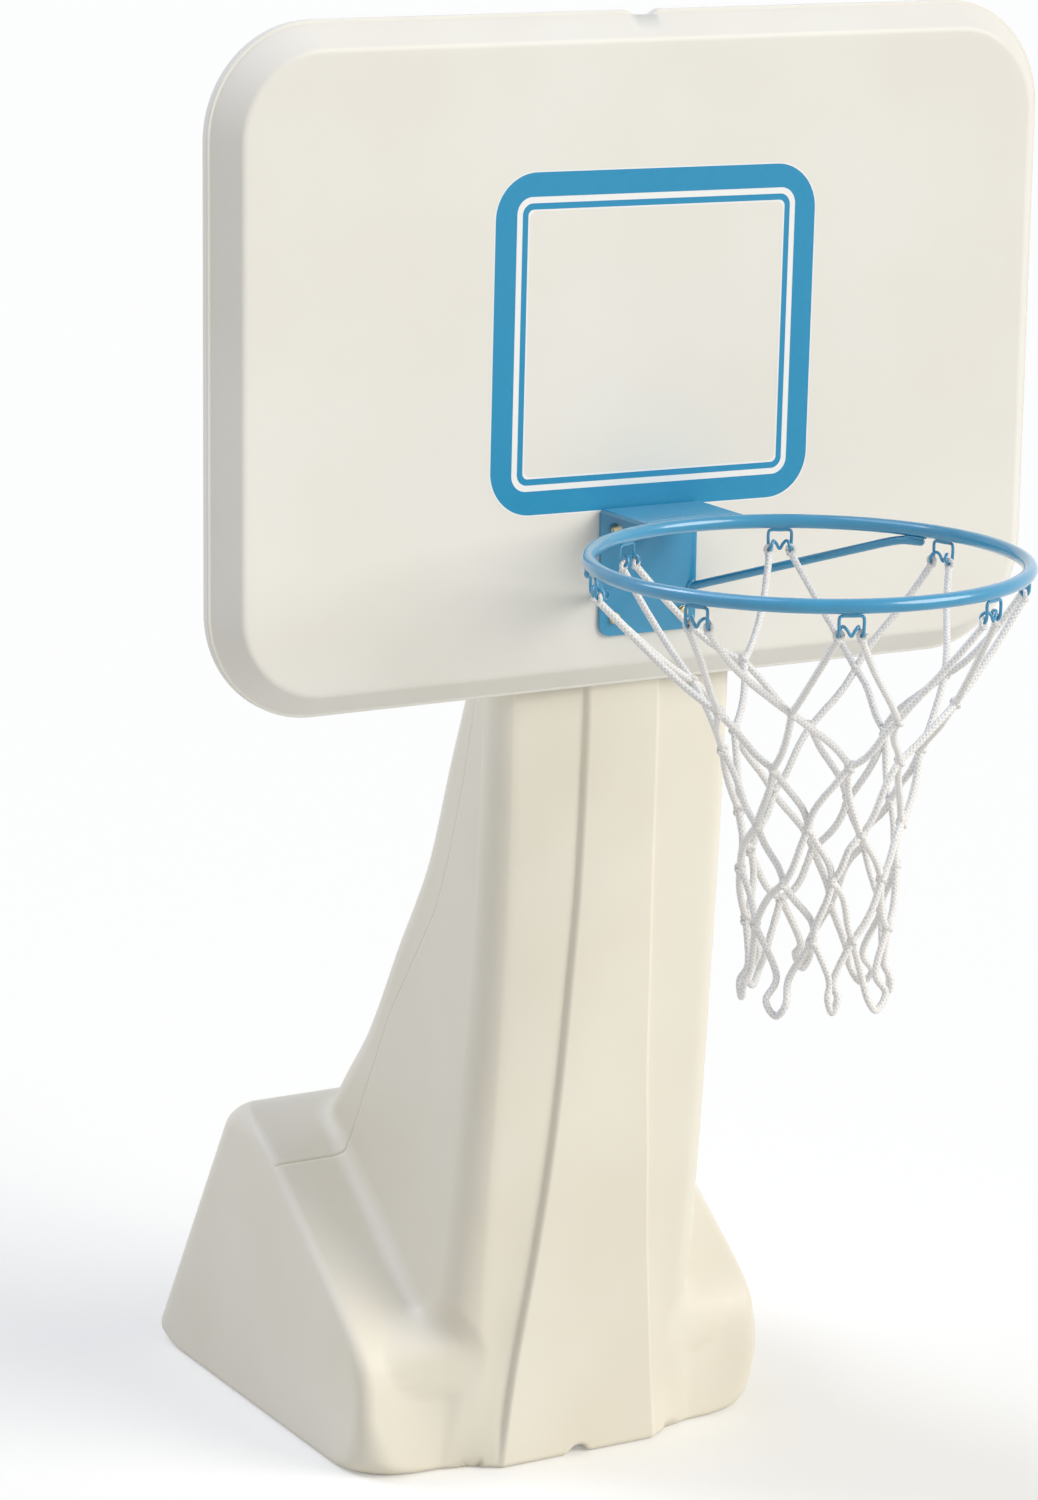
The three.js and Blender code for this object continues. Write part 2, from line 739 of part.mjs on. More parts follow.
// Net: where each cord hangs on its hook, and the knots of each row
function cordEyes() {
  const [, low] = hookHeights();
  const leg = (hook_width / 2) * eye_place_share;
  return allHookAngles().flatMap((degrees) => {
    const turn = new THREE.Matrix4().makeRotationZ(THREE.MathUtils.degToRad(degrees + 90));
    return [-1, 1].map((side) => {
      const arm = new THREE.Vector3(side * leg, hook_curl / 2, low);
      return { eye: arm.applyMatrix4(turn).add(ringPoint(degrees)), turn };
    });
  });
}

function netKnots() {
  const hooks = allHookAngles();
  const count = hooks.length;
  let above = hooks;
  return net_rows_below_ring.map((below, row) => {
    const backward = row % 2;
    const spacing = full_turn / count;
    const pitch = below - (net_rows_below_ring[row - 1] ?? 0);
    const angles = above.map((_, i) => {
      const a = above[(i - backward + count) % count];
      const b = above[(i + 1 - backward) % count];
      const wrapped = b < a ? b + full_turn : b;
      const middle = (a + wrapped) / 2;
      return backward === 1 && i === 0 ? middle - full_turn : middle;
    });
    above = angles;
    return angles.map((degrees, i) => {
      const turn = degrees + spacing * knot_turn_shares[row][i];
      const drop = below + pitch * knot_drop_shares[row][i];
      const out = ringPoint(turn).multiplyScalar(net_row_radii[row] / ring_radius);
      return out.add(new THREE.Vector3(net_sway_side, -net_sway_front, -drop));
    });
  });
}

function cordNet() {
  const eyes = cordEyes();
  const rows = netKnots();
  const count = rows[0].length;
  const pieces = [];
  const axis = new THREE.Vector3(net_sway_side, -net_sway_front, 0);
  const outward = (point) => point.clone().sub(axis).setZ(0).normalize();
  const leave = (knot, toward) => {
    const step = toward.clone().sub(knot).setLength(knot_size * knot_leave_share);
    return step.add(knot);
  };
  const strand = (from, to, bulge) => {
    const middle = from.clone().lerp(to, 0.5);
    middle.addScaledVector(outward(middle), bulge * cord);
    pieces.push(tube([from, middle, leave(to, middle)], cord / 2, cord_sides, strand_steps));
  };
  eyes.forEach(({ eye, turn }, i) => {
    const pitch_radius = hook_wire / 2 + gap + cord_loop / 2;
    const loop = new THREE.TorusGeometry(pitch_radius, cord_loop / 2, eye_sides, eye_steps);
    loop.rotateX(Math.PI / 2).applyMatrix4(turn).translate(eye.x, eye.y, eye.z);
    pieces.push(solidOf(loop));
    const hook = Math.floor(i / 2);
    const knot = i % 2 === 0 ? hook - 1 : hook;
    const start = eye.clone().setZ(eye.z - pitch_radius);
    strand(start, rows[0][(knot + count) % count], first_bulge_share);
  });
  for (let row = 0; row + 1 < rows.length; row += 1) {
    const backward = (row + 1) % 2;
    rows[row].forEach((knot, i) => {
      const right = rows[row + 1][(i + backward) % count];
      const left = rows[row + 1][(i + backward + count - 1) % count];
      strand(leave(knot, right), right, -bulge_share);
      strand(leave(knot, left), left, bulge_share);
    });
  }
  const last = rows.at(-1);
  const hang = net_bottom - net_rows_below_ring.at(-1);
  last.forEach((knot, i) => {
    const next = last[(i + 1) % count];
    const low = outward(knot.clone().lerp(next, 0.5)).multiplyScalar(net_bottom_radius).add(axis);
    low.z = -net_bottom - hang * low_loop_drop_shares[i];
    const lean = next.clone().sub(knot).setZ(0).multiplyScalar(low_loop_share);
    const rise = new THREE.Vector3(0, 0, hang * low_loop_share);
    const left = low.clone().sub(lean).add(rise);
    const right = low.clone().add(lean).add(rise);
    const path = [leave(knot, left), left, low, right, leave(next, right)];
    pieces.push(tube(path, cord / 2, cord_sides, low_loop_steps));
  });
  rows.flat().forEach((knot) => {
    const ball = new THREE.OctahedronGeometry(knot_size / 2, 0);
    ball.translate(knot.x, knot.y, knot.z);
    pieces.push(solidOf(ball));
  });
  const net = pieces.reduce((whole, piece) => whole.add(piece));
  return geometryOf(net.simplify(cord_tolerance)).translate(0, ring_y, ring_height);
}

// Fasteners
function rimBolt(centre) {
  const seat = bracket_face_y - gap;
  const flange = rod('y', seat - bolt_flange_height, seat, centre, bolt_flange / 2);
  const head = hexRod(seat - bolt_flange_height - bolt_head_height, seat - gap, centre, bolt_head_flats);
  const shank = rod('y', seat - bolt_flange_height, nutPlace()[1] + bolt_tail, centre, bolt_radius);
  return flange.add(head).add(shank);
}

function washerPlace() {
  const from = neck_seat_y + gap + backing_plate_thickness + gap;
  return [from, from + washer_thickness];
}

function nutPlace() {
  const from = washerPlace()[1] + gap;
  return [from, from + nut_height];
}

function drilled(solid, span, centre) {
  return solid.subtract(rod('y', span[0] - overrun, span[1] + overrun, centre, bolt_hole_radius));
}

function washer(span, centre) {
  return drilled(rod('y', ...span, centre, washer_diameter / 2), span, centre);
}

function backingPlate() {
  const span = [neck_seat_y + gap, neck_seat_y + gap + backing_plate_thickness];
  const half = backing_plate_width / 2;
  const bottom = pattern_middle - backing_plate_height / 2;
  const top = pattern_middle + backing_plate_height / 2;
  const blank = flatPlate(half, bottom, top, ...span, bracket_corner_radius);
  return boltPlaces().reduce((plate, centre) => drilled(plate, span, centre), blank);
}

function tabScrew(centre) {
  const seat = tab_back_y + gap + washer_thickness + gap;
  const flange = rod('y', seat, seat + bolt_flange_height, centre, bolt_flange / 2);
  const head = hexRod(seat + gap, seat + bolt_flange_height + bolt_head_height, centre, bolt_head_flats);
  const tip = board_back_y - insert_length + bolt_tail;
  const shank = rod('y', tip, seat + bolt_flange_height, centre, bolt_radius);
  return flange.add(head).add(shank);
}

function boardInsert(centre) {
  const span = [board_back_y - gap - insert_length, board_back_y - gap];
  return drilled(rod('y', ...span, centre, insert_diameter / 2), span, centre);
}

// Filler cap and its gasket
function fillerCap() {
  const steps = cap_scallops * cap_scallop_steps;
  const outline = Array.from({ length: steps }, (_, i) => {
    const angle = (i / steps) * 2 * Math.PI;
    const reach = (cap_diameter - cap_scallop_depth * (1 - Math.cos(cap_scallops * angle))) / 2;
    return [filler_side + reach * Math.cos(angle), filler_back + reach * Math.sin(angle)];
  });
  const bottom = shoulder_height + cap_lift_gap;
  const roof = filler_top + gap + gasket_thickness + gap;
  const body = loft([bottom, roof + cap_roof].map((height) => atHeight(outline, height)));
  const bore_radius = filler_neck_diameter / 2 + gap;
  const bore = rod('z', bottom - overrun, roof, [filler_side, filler_back], bore_radius, 2 * round_sides);
  return solidOf(body).subtract(bore);
}

function fillerGasket() {
  const [inner, outer] = [filler_bore / 2, filler_neck_diameter / 2];
  const low = filler_top + gap;
  const high = low + gasket_thickness;
  const ring = turned([[inner, low], [outer, low], [outer, high], [inner, high]]);
  return ring.translate(filler_side, filler_back, 0);
}

// Drain plug and its ring
function drainFlangePlace() {
  const from = base_width / 2 + drain_boss_proud + gap + oring_section + gap;
  return [from, from + plug_flange_thickness];
}

function drainPlug() {
  const centre = [drain_back, drain_height];
  const [from, to] = drainFlangePlace();
  const flange = rod('x', from, to, centre, plug_flange_diameter / 2, 2 * round_sides);
  const shank_from = base_width / 2 + drain_boss_proud - plug_shank_length;
  const shank = rod('x', shank_from, to, centre, drain_bore / 2 - gap);
  const half_length = plug_grip_length / 2;
  const half_thickness = plug_grip_thickness / 2;
  const grip = boxSolid(
    [from + gap, to + plug_grip_height],
    [drain_back - half_length, drain_back + half_length],
    [drain_height - half_thickness, drain_height + half_thickness],
  );
  return flange.add(shank).add(grip);
}

function drainRing() {
  const radii = [oring_pitch_diameter / 2, oring_section / 2];
  const geometry = new THREE.TorusGeometry(...radii, oring_sides, round_sides);
  geometry.rotateY(Math.PI / 2);
  const x = base_width / 2 + drain_boss_proud + gap + oring_section / 2;
  return geometry.translate(x, drain_back, drain_height);
}

function waterBallast() {
  const inset = base_wall + water_gap;
  const boss_from = base_width / 2 + drain_boss_proud - drain_boss_length - water_gap;
  const boss_radius = drain_boss_diameter / 2 + water_gap;
  const boss = rod('x', boss_from, base_width, [drain_back, drain_height], boss_radius);
  return solidOf(tankSkin(inset, fill_level)).subtract(boss);
}

place('stand_shell', geometryOf(standShell()), 'stand');
place('backboard', geometryOf(boardShell()), 'board');
place('rim_ring', ringTorus(0), 'blue');
place('rim_bracket', geometryOf(rimBracket()), 'blue');
place('brace_left', geometryOf(brace(-1)), 'blue');
place('brace_right', geometryOf(brace(1)), 'blue');
allHookAngles().forEach((degrees, i) => {
  const hook = place(`net_hook_${i + 1}`, hookGeometry(), 'blue');
  const { x, y } = ringPoint(degrees);
  hook.position.set(x, ring_y + y, ring_height);
  hook.rotation.z = THREE.MathUtils.degToRad(degrees + 90);
});
place('net', cordNet(), 'cord');
boltPlaces().forEach((centre, i) => {
  place(`rim_bolt_${i + 1}`, geometryOf(rimBolt(centre)), 'bolt');
  place(`rim_washer_${i + 1}`, geometryOf(washer(washerPlace(), centre)), 'steel');
  const nut = drilled(hexRod(...nutPlace(), centre, bolt_head_flats), nutPlace(), centre);
  place(`rim_nut_${i + 1}`, geometryOf(nut), 'steel');
});
place('backing_plate', geometryOf(backingPlate()), 'steel');
tabScrewPlaces().forEach((centre, i) => {
  const span = [tab_back_y + gap, tab_back_y + gap + washer_thickness];
  place(`board_screw_${i + 1}`, geometryOf(tabScrew(centre)), 'steel');
  place(`board_washer_${i + 1}`, geometryOf(washer(span, centre)), 'steel');
  place(`board_insert_${i + 1}`, geometryOf(boardInsert(centre)), 'brass');
});
place('filler_cap', geometryOf(fillerCap()), 'cap');
place('filler_gasket', fillerGasket(), 'rubber');
place('drain_plug', geometryOf(drainPlug()), 'cap');
place('drain_ring', drainRing(), 'rubber');
place('water_ballast', geometryOf(waterBallast()), 'water');

export default hoop;
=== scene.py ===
# %% [markdown]
# # Poolside basketball hoop
# The hoop has a moulded stand full of water, a bevelled backboard and a blue steel rim with a cord
# net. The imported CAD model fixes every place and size. This lesson gives each piece the soft edges,
# fillets and finishes that the plain solids lack. Lengths are written in millimetres, as in the
# drawing, and one factor turns them into Blender's metres.

# %% Load the fixed frame
import math
import bpy
import numpy as np
from mathutils import Euler, Matrix


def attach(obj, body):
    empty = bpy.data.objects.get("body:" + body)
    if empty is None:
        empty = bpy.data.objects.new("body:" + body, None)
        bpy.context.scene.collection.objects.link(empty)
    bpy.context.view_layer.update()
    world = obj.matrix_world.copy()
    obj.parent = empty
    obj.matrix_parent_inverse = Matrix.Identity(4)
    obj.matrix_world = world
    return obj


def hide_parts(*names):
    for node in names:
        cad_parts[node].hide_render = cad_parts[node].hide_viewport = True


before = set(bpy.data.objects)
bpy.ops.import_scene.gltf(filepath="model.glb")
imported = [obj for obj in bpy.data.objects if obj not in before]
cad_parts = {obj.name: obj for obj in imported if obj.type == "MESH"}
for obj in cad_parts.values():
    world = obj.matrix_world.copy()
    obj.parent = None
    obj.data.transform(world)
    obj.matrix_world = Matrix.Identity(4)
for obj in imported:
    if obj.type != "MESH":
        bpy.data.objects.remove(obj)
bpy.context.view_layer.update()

MM = 0.001

# %% [markdown]
# ## Sizes of the hoop
# A maker's drawing starts with its driving sizes, so these come first and each is written once.
# They repeat the CAD's values. Everything else is worked out from them.

# %% Driving sizes in millimetres
BASE_WIDTH, BASE_DEPTH, SHOULDER = 562, 597, 371
RIDGE_FOOT, RIDGE_RUN, REAR_RUN, TAPER = 150, 320, 200, 7
RIDGE_SLOPE = (SHOULDER - RIDGE_FOOT) / RIDGE_RUN
BOARD_WIDTH, BOARD_HEIGHT, BOARD_CORNER, BOARD_BAND, BOARD_BEVEL = 1076, 766, 127, 13, 30
RING_HEIGHT, RING_BORE, RING_ROD, RING_REACH = 1183, 457, 16, 337
COLUMN_LEAD, COLUMN_WIDTH, COLUMN_DEPTH, NECK_HEIGHT, NECK_DEPTH = 92, 316, 405, 413, 80
RIB_WIDTH, RIB_STAND, RIB_TOP, RIB_FLANK = 96, 30, 12, 3
BOARD_BELOW_RING, PLATE_ABOVE_RING, SHEET, GAP = 206, 7, 5, 0.3
BOLT_SIDE, BOLT_DROPS, SCREW_SIDE, SCREW_RISE = 45, (127, 25), 50, 18

# %% Places that follow from them
BASE_FRONT, BASE_REAR, BASE_SIDE = -BASE_DEPTH / 2, BASE_DEPTH / 2, BASE_WIDTH / 2
BOARD_BOTTOM = RING_HEIGHT - BOARD_BELOW_RING
NECK_TOP = BOARD_BOTTOM + NECK_HEIGHT
PANEL_Y = BASE_FRONT - COLUMN_LEAD
BOARD_BACK = PANEL_Y - RIB_TOP - GAP
BOARD_FACE = BOARD_BACK - BOARD_BAND - BOARD_BEVEL
RING_RADIUS = (RING_BORE + RING_ROD) / 2
RING_Y = BOARD_FACE - RING_REACH
RING_MIDDLE = np.array([0, RING_Y, RING_HEIGHT])
PLATE_TOP = RING_HEIGHT + PLATE_ABOVE_RING
PLATE_BACK = BOARD_FACE - GAP
PLATE_FACE = PLATE_BACK - SHEET
NECK_SEAT = PANEL_Y + NECK_DEPTH
BOLT_PLACES = [(x, PLATE_TOP - drop) for drop in BOLT_DROPS for x in (-BOLT_SIDE, BOLT_SIDE)]
SCREW_PLACES = [(x, NECK_TOP + SCREW_RISE) for x in (-SCREW_SIDE, SCREW_SIDE)]
FILLER, DRAIN = (COLUMN_WIDTH / 2 + 58, 45.0), (150.0, 45.0)
print("board face at y", BOARD_FACE, "mm, ring centre at y", RING_Y, "mm, neck top at", NECK_TOP)

# %% [markdown]
# ## Surfaces from whole arrays
# A shape here is a grid of points that numpy works out at once: rows along one direction and
# columns round the other. One helper closes the grid and makes it a mesh. It measures the signed
# volume and turns the faces round where they point inwards, so no piece is inside out.

# %% Helper: grid to closed shell
def stack(*parts):
    """Arrays or numbers side by side in a new last direction, each stretched to the same shape."""
    return np.stack(np.broadcast_arrays(*parts), -1)


def full_turn(count):
    """Angles once round, without the last, which would repeat the first."""
    return np.linspace(0, 2 * math.pi, count, endpoint=False)


def shell_of(grid, closed=False):
    """Points, quads and triangles of a grid of rows and columns.

    Each quad joins a point to its neighbour in the row and to the two in the next row, and the
    last column meets the first. closed joins the last row to the first too. Otherwise a fan to
    its middle closes each end row. The volume is a sixth of the sum of each triangle's triple
    product, and a negative one turns every face round.
    """
    rows, cols = grid.shape[:2]
    points, ring = grid.reshape(-1, 3), np.arange(cols)
    low = np.arange(rows if closed else rows - 1)[:, None] * cols
    high, after = (low + cols) % (rows * cols), (ring + 1) % cols
    quads = stack(low + ring, low + after, high + after, high + ring).reshape(-1, 4)
    tris = np.zeros((0, 3), int)
    if not closed:
        count, last = len(points), (rows - 1) * cols
        points = np.vstack([points, grid[0].mean(0), grid[-1].mean(0)])
        tris = np.vstack([stack(after, ring, count), stack(last + ring, last + after, count + 1)])
    fans = np.vstack([quads[:, [0, 1, 2]], quads[:, [0, 2, 3]], tris])
    a, b, d = (points[fans[:, k]] for k in range(3))
    if np.einsum("ij,ij->", a, np.cross(b, d)) < 0:
        quads, tris = quads[:, ::-1], tris[:, ::-1]
    return points, quads, tris


# %% Helper: shells to one piece
def add_object(name, data):
    """A new object of some data, linked to the scene."""
    made = bpy.data.objects.new(name, data)
    bpy.context.scene.collection.objects.link(made)
    return made


def make_piece(name, shells, material, replaces=(), body="stand", sharp=None, uv=None):
    """One mesh object from shells in millimetres.

    Corner numbers are shifted by the points before them, and the arrays go straight into the
    mesh. sharp is the angle in degrees past which an edge stays crisp. uv holds one pair for
    each point and is read for each face corner. A quad whose corners lie more than half a turn
    apart crosses the seam, so its low corners gain a whole turn.
    """
    shift, points, quads, tris = 0, [], [], []
    for p, q, t in shells:
        points.append(p)
        quads.append(q + shift)
        tris.append(t + shift)
        shift += len(p)
    points, quads, tris = np.vstack(points), np.vstack(quads), np.vstack(tris)
    corners = np.concatenate([quads.ravel(), tris.ravel()]).astype(np.int32)
    starts = np.concatenate([np.arange(len(quads)) * 4, len(quads) * 4 + np.arange(len(tris)) * 3])
    mesh = bpy.data.meshes.new(name)
    mesh.vertices.add(len(points))
    mesh.vertices.foreach_set("co", (points * MM).astype(np.float32).ravel())
    mesh.loops.add(len(corners))
    mesh.loops.foreach_set("vertex_index", corners)
    mesh.polygons.add(len(starts))
    mesh.polygons.foreach_set("loop_start", starts.astype(np.int32))
    mesh.update(calc_edges=True)
    if uv is not None:
        layer = mesh.uv_layers.new(name="Lay")
        lay = np.asarray(uv, np.float32)[corners]
        faces = lay[:len(quads) * 4, 0].reshape(-1, 4)
        faces += (np.ptp(faces, axis=1, keepdims=True) > 0.5) * (faces < 0.5)
        layer.uv.foreach_set("vector", lay.ravel())
    mesh.validate()
    mesh.shade_smooth()
    if sharp is not None:
        mesh.set_sharp_from_angle(angle=math.radians(sharp))
    piece = add_object(name, mesh)
    mesh.materials.append(material)
    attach(piece, body)
    if replaces:
        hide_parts(*replaces)
    print(name, len(quads) * 2 + len(tris), "triangles")


# %% [markdown]
# ## Finishes
# Each finish is a small node tree on the object's own coordinates. Colours are written as on a
# swatch card and turned into the linear values that Blender mixes with. What is the same all over,
# such as the gloss, is set on the shader itself.

# %% Helper: colours and nodes
def swatch(code):
    """Linear colour of a hex code: each channel over 255, then ((c + 0.055) / 1.055) to 2.4."""
    channels = np.array([int(code[i:i + 2], 16) for i in (0, 2, 4)]) / 255
    linear = np.where(channels <= 0.04045, channels / 12.92, ((channels + 0.055) / 1.055) ** 2.4)
    return (*map(float, linear), 1.0)


def add_node(tree, kind, inputs=(), **settings):
    """One shader node with its settings, and its sockets fed by values or by other nodes."""
    node = tree.nodes.new("ShaderNode" + kind)
    for key, value in settings.items():
        setattr(node, key, value)
    for key, value in dict(inputs).items():
        if isinstance(value, bpy.types.NodeSocket):
            tree.links.new(value, node.inputs[key])
        else:
            node.inputs[key].default_value = value
    return node


def calc(tree, operation, *values):
    """The result of one Math node, whose values are numbers or other nodes' results."""
    return add_node(tree, "Math", enumerate(values), operation=operation).outputs[0]


def start_finish(name, roughness, **sockets):
    """A material with its shader's steady values set, its node tree and the place on the object."""
    material = bpy.data.materials.new(name)
    material.use_nodes = True
    tree = material.node_tree
    shader = tree.nodes["Principled BSDF"]
    shader.inputs["Roughness"].default_value = roughness
    for key, value in sockets.items():
        shader.inputs[key.replace("_", " ")].default_value = value
    place = add_node(tree, "TexCoord").outputs["Object"]
    return material, tree, shader, place


def grain(tree, place, scale, detail):
    """Noise over the object, with its scale in waves per metre."""
    inputs = {"Vector": place, "Scale": scale, "Detail": detail}
    return add_node(tree, "TexNoise", inputs).outputs["Fac"]


def paint(tree, shader, value, span, first, second):
    """Base colour that goes from the first swatch to the second as a value crosses a span."""
    inputs = {"Value": value, "From Min": span[0], "From Max": span[1]}
    amount = add_node(tree, "MapRange", inputs).outputs["Result"]
    tones = {0: amount, 6: swatch(first), 7: swatch(second)}
    mixed = add_node(tree, "Mix", tones, data_type="RGBA").outputs[2]
    tree.links.new(mixed, shader.inputs["Base Color"])


def relief(tree, shader, height, depth, before=None):
    """Bump of a height map: depth in millimetres from its lowest to its highest."""
    inputs = {"Height": height, "Distance": depth * MM, "Strength": 1.0}
    if before is not None:
        inputs["Normal"] = before
    bump = add_node(tree, "Bump", inputs).outputs["Normal"]
    tree.links.new(bump, shader.inputs["Normal"])
    return bump


def clouded(name, first, second, roughness, cloud, skin, span=(0.35, 0.65), **sockets):
    """Two near tones mixed by a noise, under finer noises raised as relief.

    cloud is the scale and detail of the noise that mixes the tones, as its value crosses span.
    skin lists a scale, a detail and a depth for each relief, and each lies on the one before.
    """
    material, tree, shader, place = start_finish(name, roughness, **sockets)
    paint(tree, shader, grain(tree, place, *cloud), span, first, second)
    bump = None
    for scale, detail, depth in skin:
        bump = relief(tree, shader, grain(tree, place, scale, detail), depth, bump)
    return material


# %% [markdown]
# ### Moulded plastic of the stand and the board
# Rotomoulded polyethylene takes the mould's blasted skin: a dull sheen over a fine orange peel.
# Two sizes of noise give it, the finer one a few hundredths of a millimetre high, and the colour
# drifts very slightly from place to place.

# %% Stand and board plastic
stand_plastic = clouded("stand_plastic", "ECE6D6", "E9E2D0", 0.47, (5, 2),
                        [(60, 2, 0.16), (420, 3, 0.04)])
board_plastic = clouded("board_plastic", "ECE9E0", "E9E5DB", 0.42, (5, 2),
                        [(60, 2, 0.12), (420, 3, 0.03)])
print("plastics:", stand_plastic.name, board_plastic.name)

# %% [markdown]
# ### Enamel, print and metal
# The rim is steel in a glossy blue powder coat, which flows out with a slight ripple under a clear
# layer. The target on the board is screen-printed ink, a film that is flat and a little duller than
# the coat. Zinc, brass and rubber are seen only small, so each has two near tones, one fine relief
# and its own gloss.

# %% Blue coat and inks
blue_coat = clouded("blue_coat", "1C93BF", "1A8EB9", 0.3, (30, 2), [(350, 2, 0.04)],
                    Coat_Weight=0.9, Coat_Roughness=0.1, Coat_IOR=1.55)
blue_ink, white_ink = (
    clouded(name, first, second, 0.38, (160, 4), [(900, 2, 0.01)], (0.3, 0.7))
    for name, first, second in (("blue_ink", "148CB8", "188FBA"),
                                ("white_ink", "F6F5F2", "F3F2EE")))
print("coat and inks:", blue_coat.name, blue_ink.name, white_ink.name)

# %% Small metals, caps and rubber
bolt_zinc, plain_zinc, turned_brass = (
    clouded(name, first, second, roughness, (300, 3), [(1500, 2, 0.02)], Metallic=1.0)
    for name, first, second, roughness in (("bolt_zinc", "D9CBA2", "C4B489", 0.3),
                                           ("plain_zinc", "C9CDD0", "B2B7BB", 0.34),
                                           ("turned_brass", "D9B566", "C29C4C", 0.28)))
cap_plastic = clouded("cap_plastic", "4F5963", "48515A", 0.5, (80, 3), [(900, 3, 0.04)])
black_rubber = clouded("black_rubber", "2A2C2E", "232527", 0.75, (80, 3), [(900, 3, 0.05)])
print("small finishes:", bolt_zinc.name, plain_zinc.name, turned_brass.name, cap_plastic.name,
      black_rubber.name)

# %% [markdown]
# ### Braided cord
# The net is soft white braid. Its strands cross in small diamonds, which follow the cord, so this
# finish reads the cord's own UV map: once round the cord and along it in cord widths.
# Its colour is painted shade: darker in the low places between the strands.

# %% Cord
CROSSINGS_ROUND, CROSSINGS_ALONG = 4.0, 1.6


def braided_cord(name):
    """Diamond braid: its height is the higher of two slanting sines, one for each winding."""
    material, tree, shader, place = start_finish(name, 0.85, Sheen_Weight=0.3, Sheen_Roughness=0.5)
    lay = add_node(tree, "UVMap", uv_map="Lay").outputs["UV"]
    parts = add_node(tree, "SeparateXYZ", {"Vector": lay}).outputs
    waves = []
    for hand in (CROSSINGS_ROUND, -CROSSINGS_ROUND):
        turn = calc(tree, "MULTIPLY", parts["X"], hand)
        slant = calc(tree, "MULTIPLY_ADD", parts["Y"], CROSSINGS_ALONG, turn)
        waves.append(calc(tree, "SINE", calc(tree, "MULTIPLY", slant, 2 * math.pi)))
    height = calc(tree, "MAXIMUM", *waves)
    # The base colour follows the braid's height: painted shade, darker in the low places between the
    # strands and lightest on their crests.
    paint(tree, shader, height, (-0.6, 1.0), "EEE9E5", "FFFDF8")
    braid = relief(tree, shader, height, 0.3)
    relief(tree, shader, grain(tree, place, 1600.0, 3.0), 0.2, braid)
    return material


white_cord = braided_cord("white_cord")
print("cord:", white_cord.name)

# %% [markdown]
# ### The CAD node that stays
# The water in the tank keeps its CAD solid, because its flat faces are its real shape. Its finish
# is a faint blue-green with low ripples.

# %% Water
water = clouded("water", "B4DCE8", "A6D3E2", 0.05, (12, 2), [(25, 2, 0.4)])
tank_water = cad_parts["water_ballast"]
tank_water.data.materials.clear()
tank_water.data.materials.append(water)
print("kept node:", tank_water.name)

# %% [markdown]
# ## Tools for sheet, wire and turned parts
# The rest of the hoop is bent plate, rod, wire, cord and turned parts. Three ideas draw them all: a
# rounded rectangle as a list of directions, a solid of revolution, and a circle carried along a
# path.

# %% Helper: rounded rectangles
def corner_columns(corner=16, across=(), up=()):
    """Directions round a rectangle, anticlockwise: the centre's sign and the way out from it.

    across and up are extra places from -1 to 1 on the level and upright sides. A point lies at
    the corner's centre times the first pair, plus the radius times the second.
    """
    quarter = np.linspace(0, math.pi / 2, corner + 1)
    across, up = (np.unique([*np.linspace(-1, 1, 9), *extra])[1:-1] for extra in (across, up))
    signs, ways = [(1, 1), (-1, 1), (-1, -1), (1, -1)], [(0, 1), (-1, 0), (0, -1), (1, 0)]
    centre, out = [], []
    for k, places in enumerate((across[::-1], up[::-1], across, up)):
        arc = quarter + k * math.pi / 2
        side = stack(places, signs[k][1]) if k % 2 == 0 else stack(signs[k][0], places)
        centre += [np.tile(signs[k], (len(arc), 1)), side]
        out += [stack(np.cos(arc), np.sin(arc)), np.tile(ways[k], (len(places), 1))]
    return np.vstack(centre).astype(float), np.vstack(out).astype(float)


def rectangle(columns, width, height, radius, inset=0.0):
    """Outline of a rounded rectangle drawn in by an inset, with its corner at least 1 mm round."""
    centre, out = columns
    half = np.array([width, height]) / 2 - inset
    round_off = max(radius - inset, 1.0)
    return centre * (half - round_off) + out * round_off


def slab(columns, width, height, radius, rows, place):
    """Plate across Y from rows of inset and Y place, about a middle (x, z)."""
    grid = []
    for inset, y in rows:
        x, z = rectangle(columns, width, height, radius, inset).T
        grid.append(stack(place[0] + x, y, place[1] + z))
    return np.array(grid)


def soften(points, radius, steps, closed=False):
    """Path with rounded corners: each gives way to a quadratic curve that starts a radius before
    it and ends a radius after it, or nearly half a leg away where the leg is short."""
    p = np.asarray(points, float)
    legs = np.roll(p, 1, 0) - p, np.roll(p, -1, 0) - p
    sizes = [np.maximum(np.linalg.norm(leg, axis=1, keepdims=True), 1e-6) for leg in legs]
    start, end = (p + leg / size * np.minimum(radius, size * 0.48)
                  for leg, size in zip(legs, sizes))
    t = np.linspace(0, 1, steps + 1)[:, None]
    curves = start[:, None] * (1 - t) ** 2 + p[:, None] * 2 * t * (1 - t) + end[:, None] * t ** 2
    if closed:
        return curves.reshape(-1, p.shape[1])
    return np.vstack([p[:1], curves[1:-1].reshape(-1, p.shape[1]), p[-1:]])


# %% Helper: turned parts
def moved(profile, start, way=1):
    """A profile whose places are counted from a start, forwards or backwards along the axis."""
    return [(radius, start + way * place, *share) for radius, place, *share in profile]


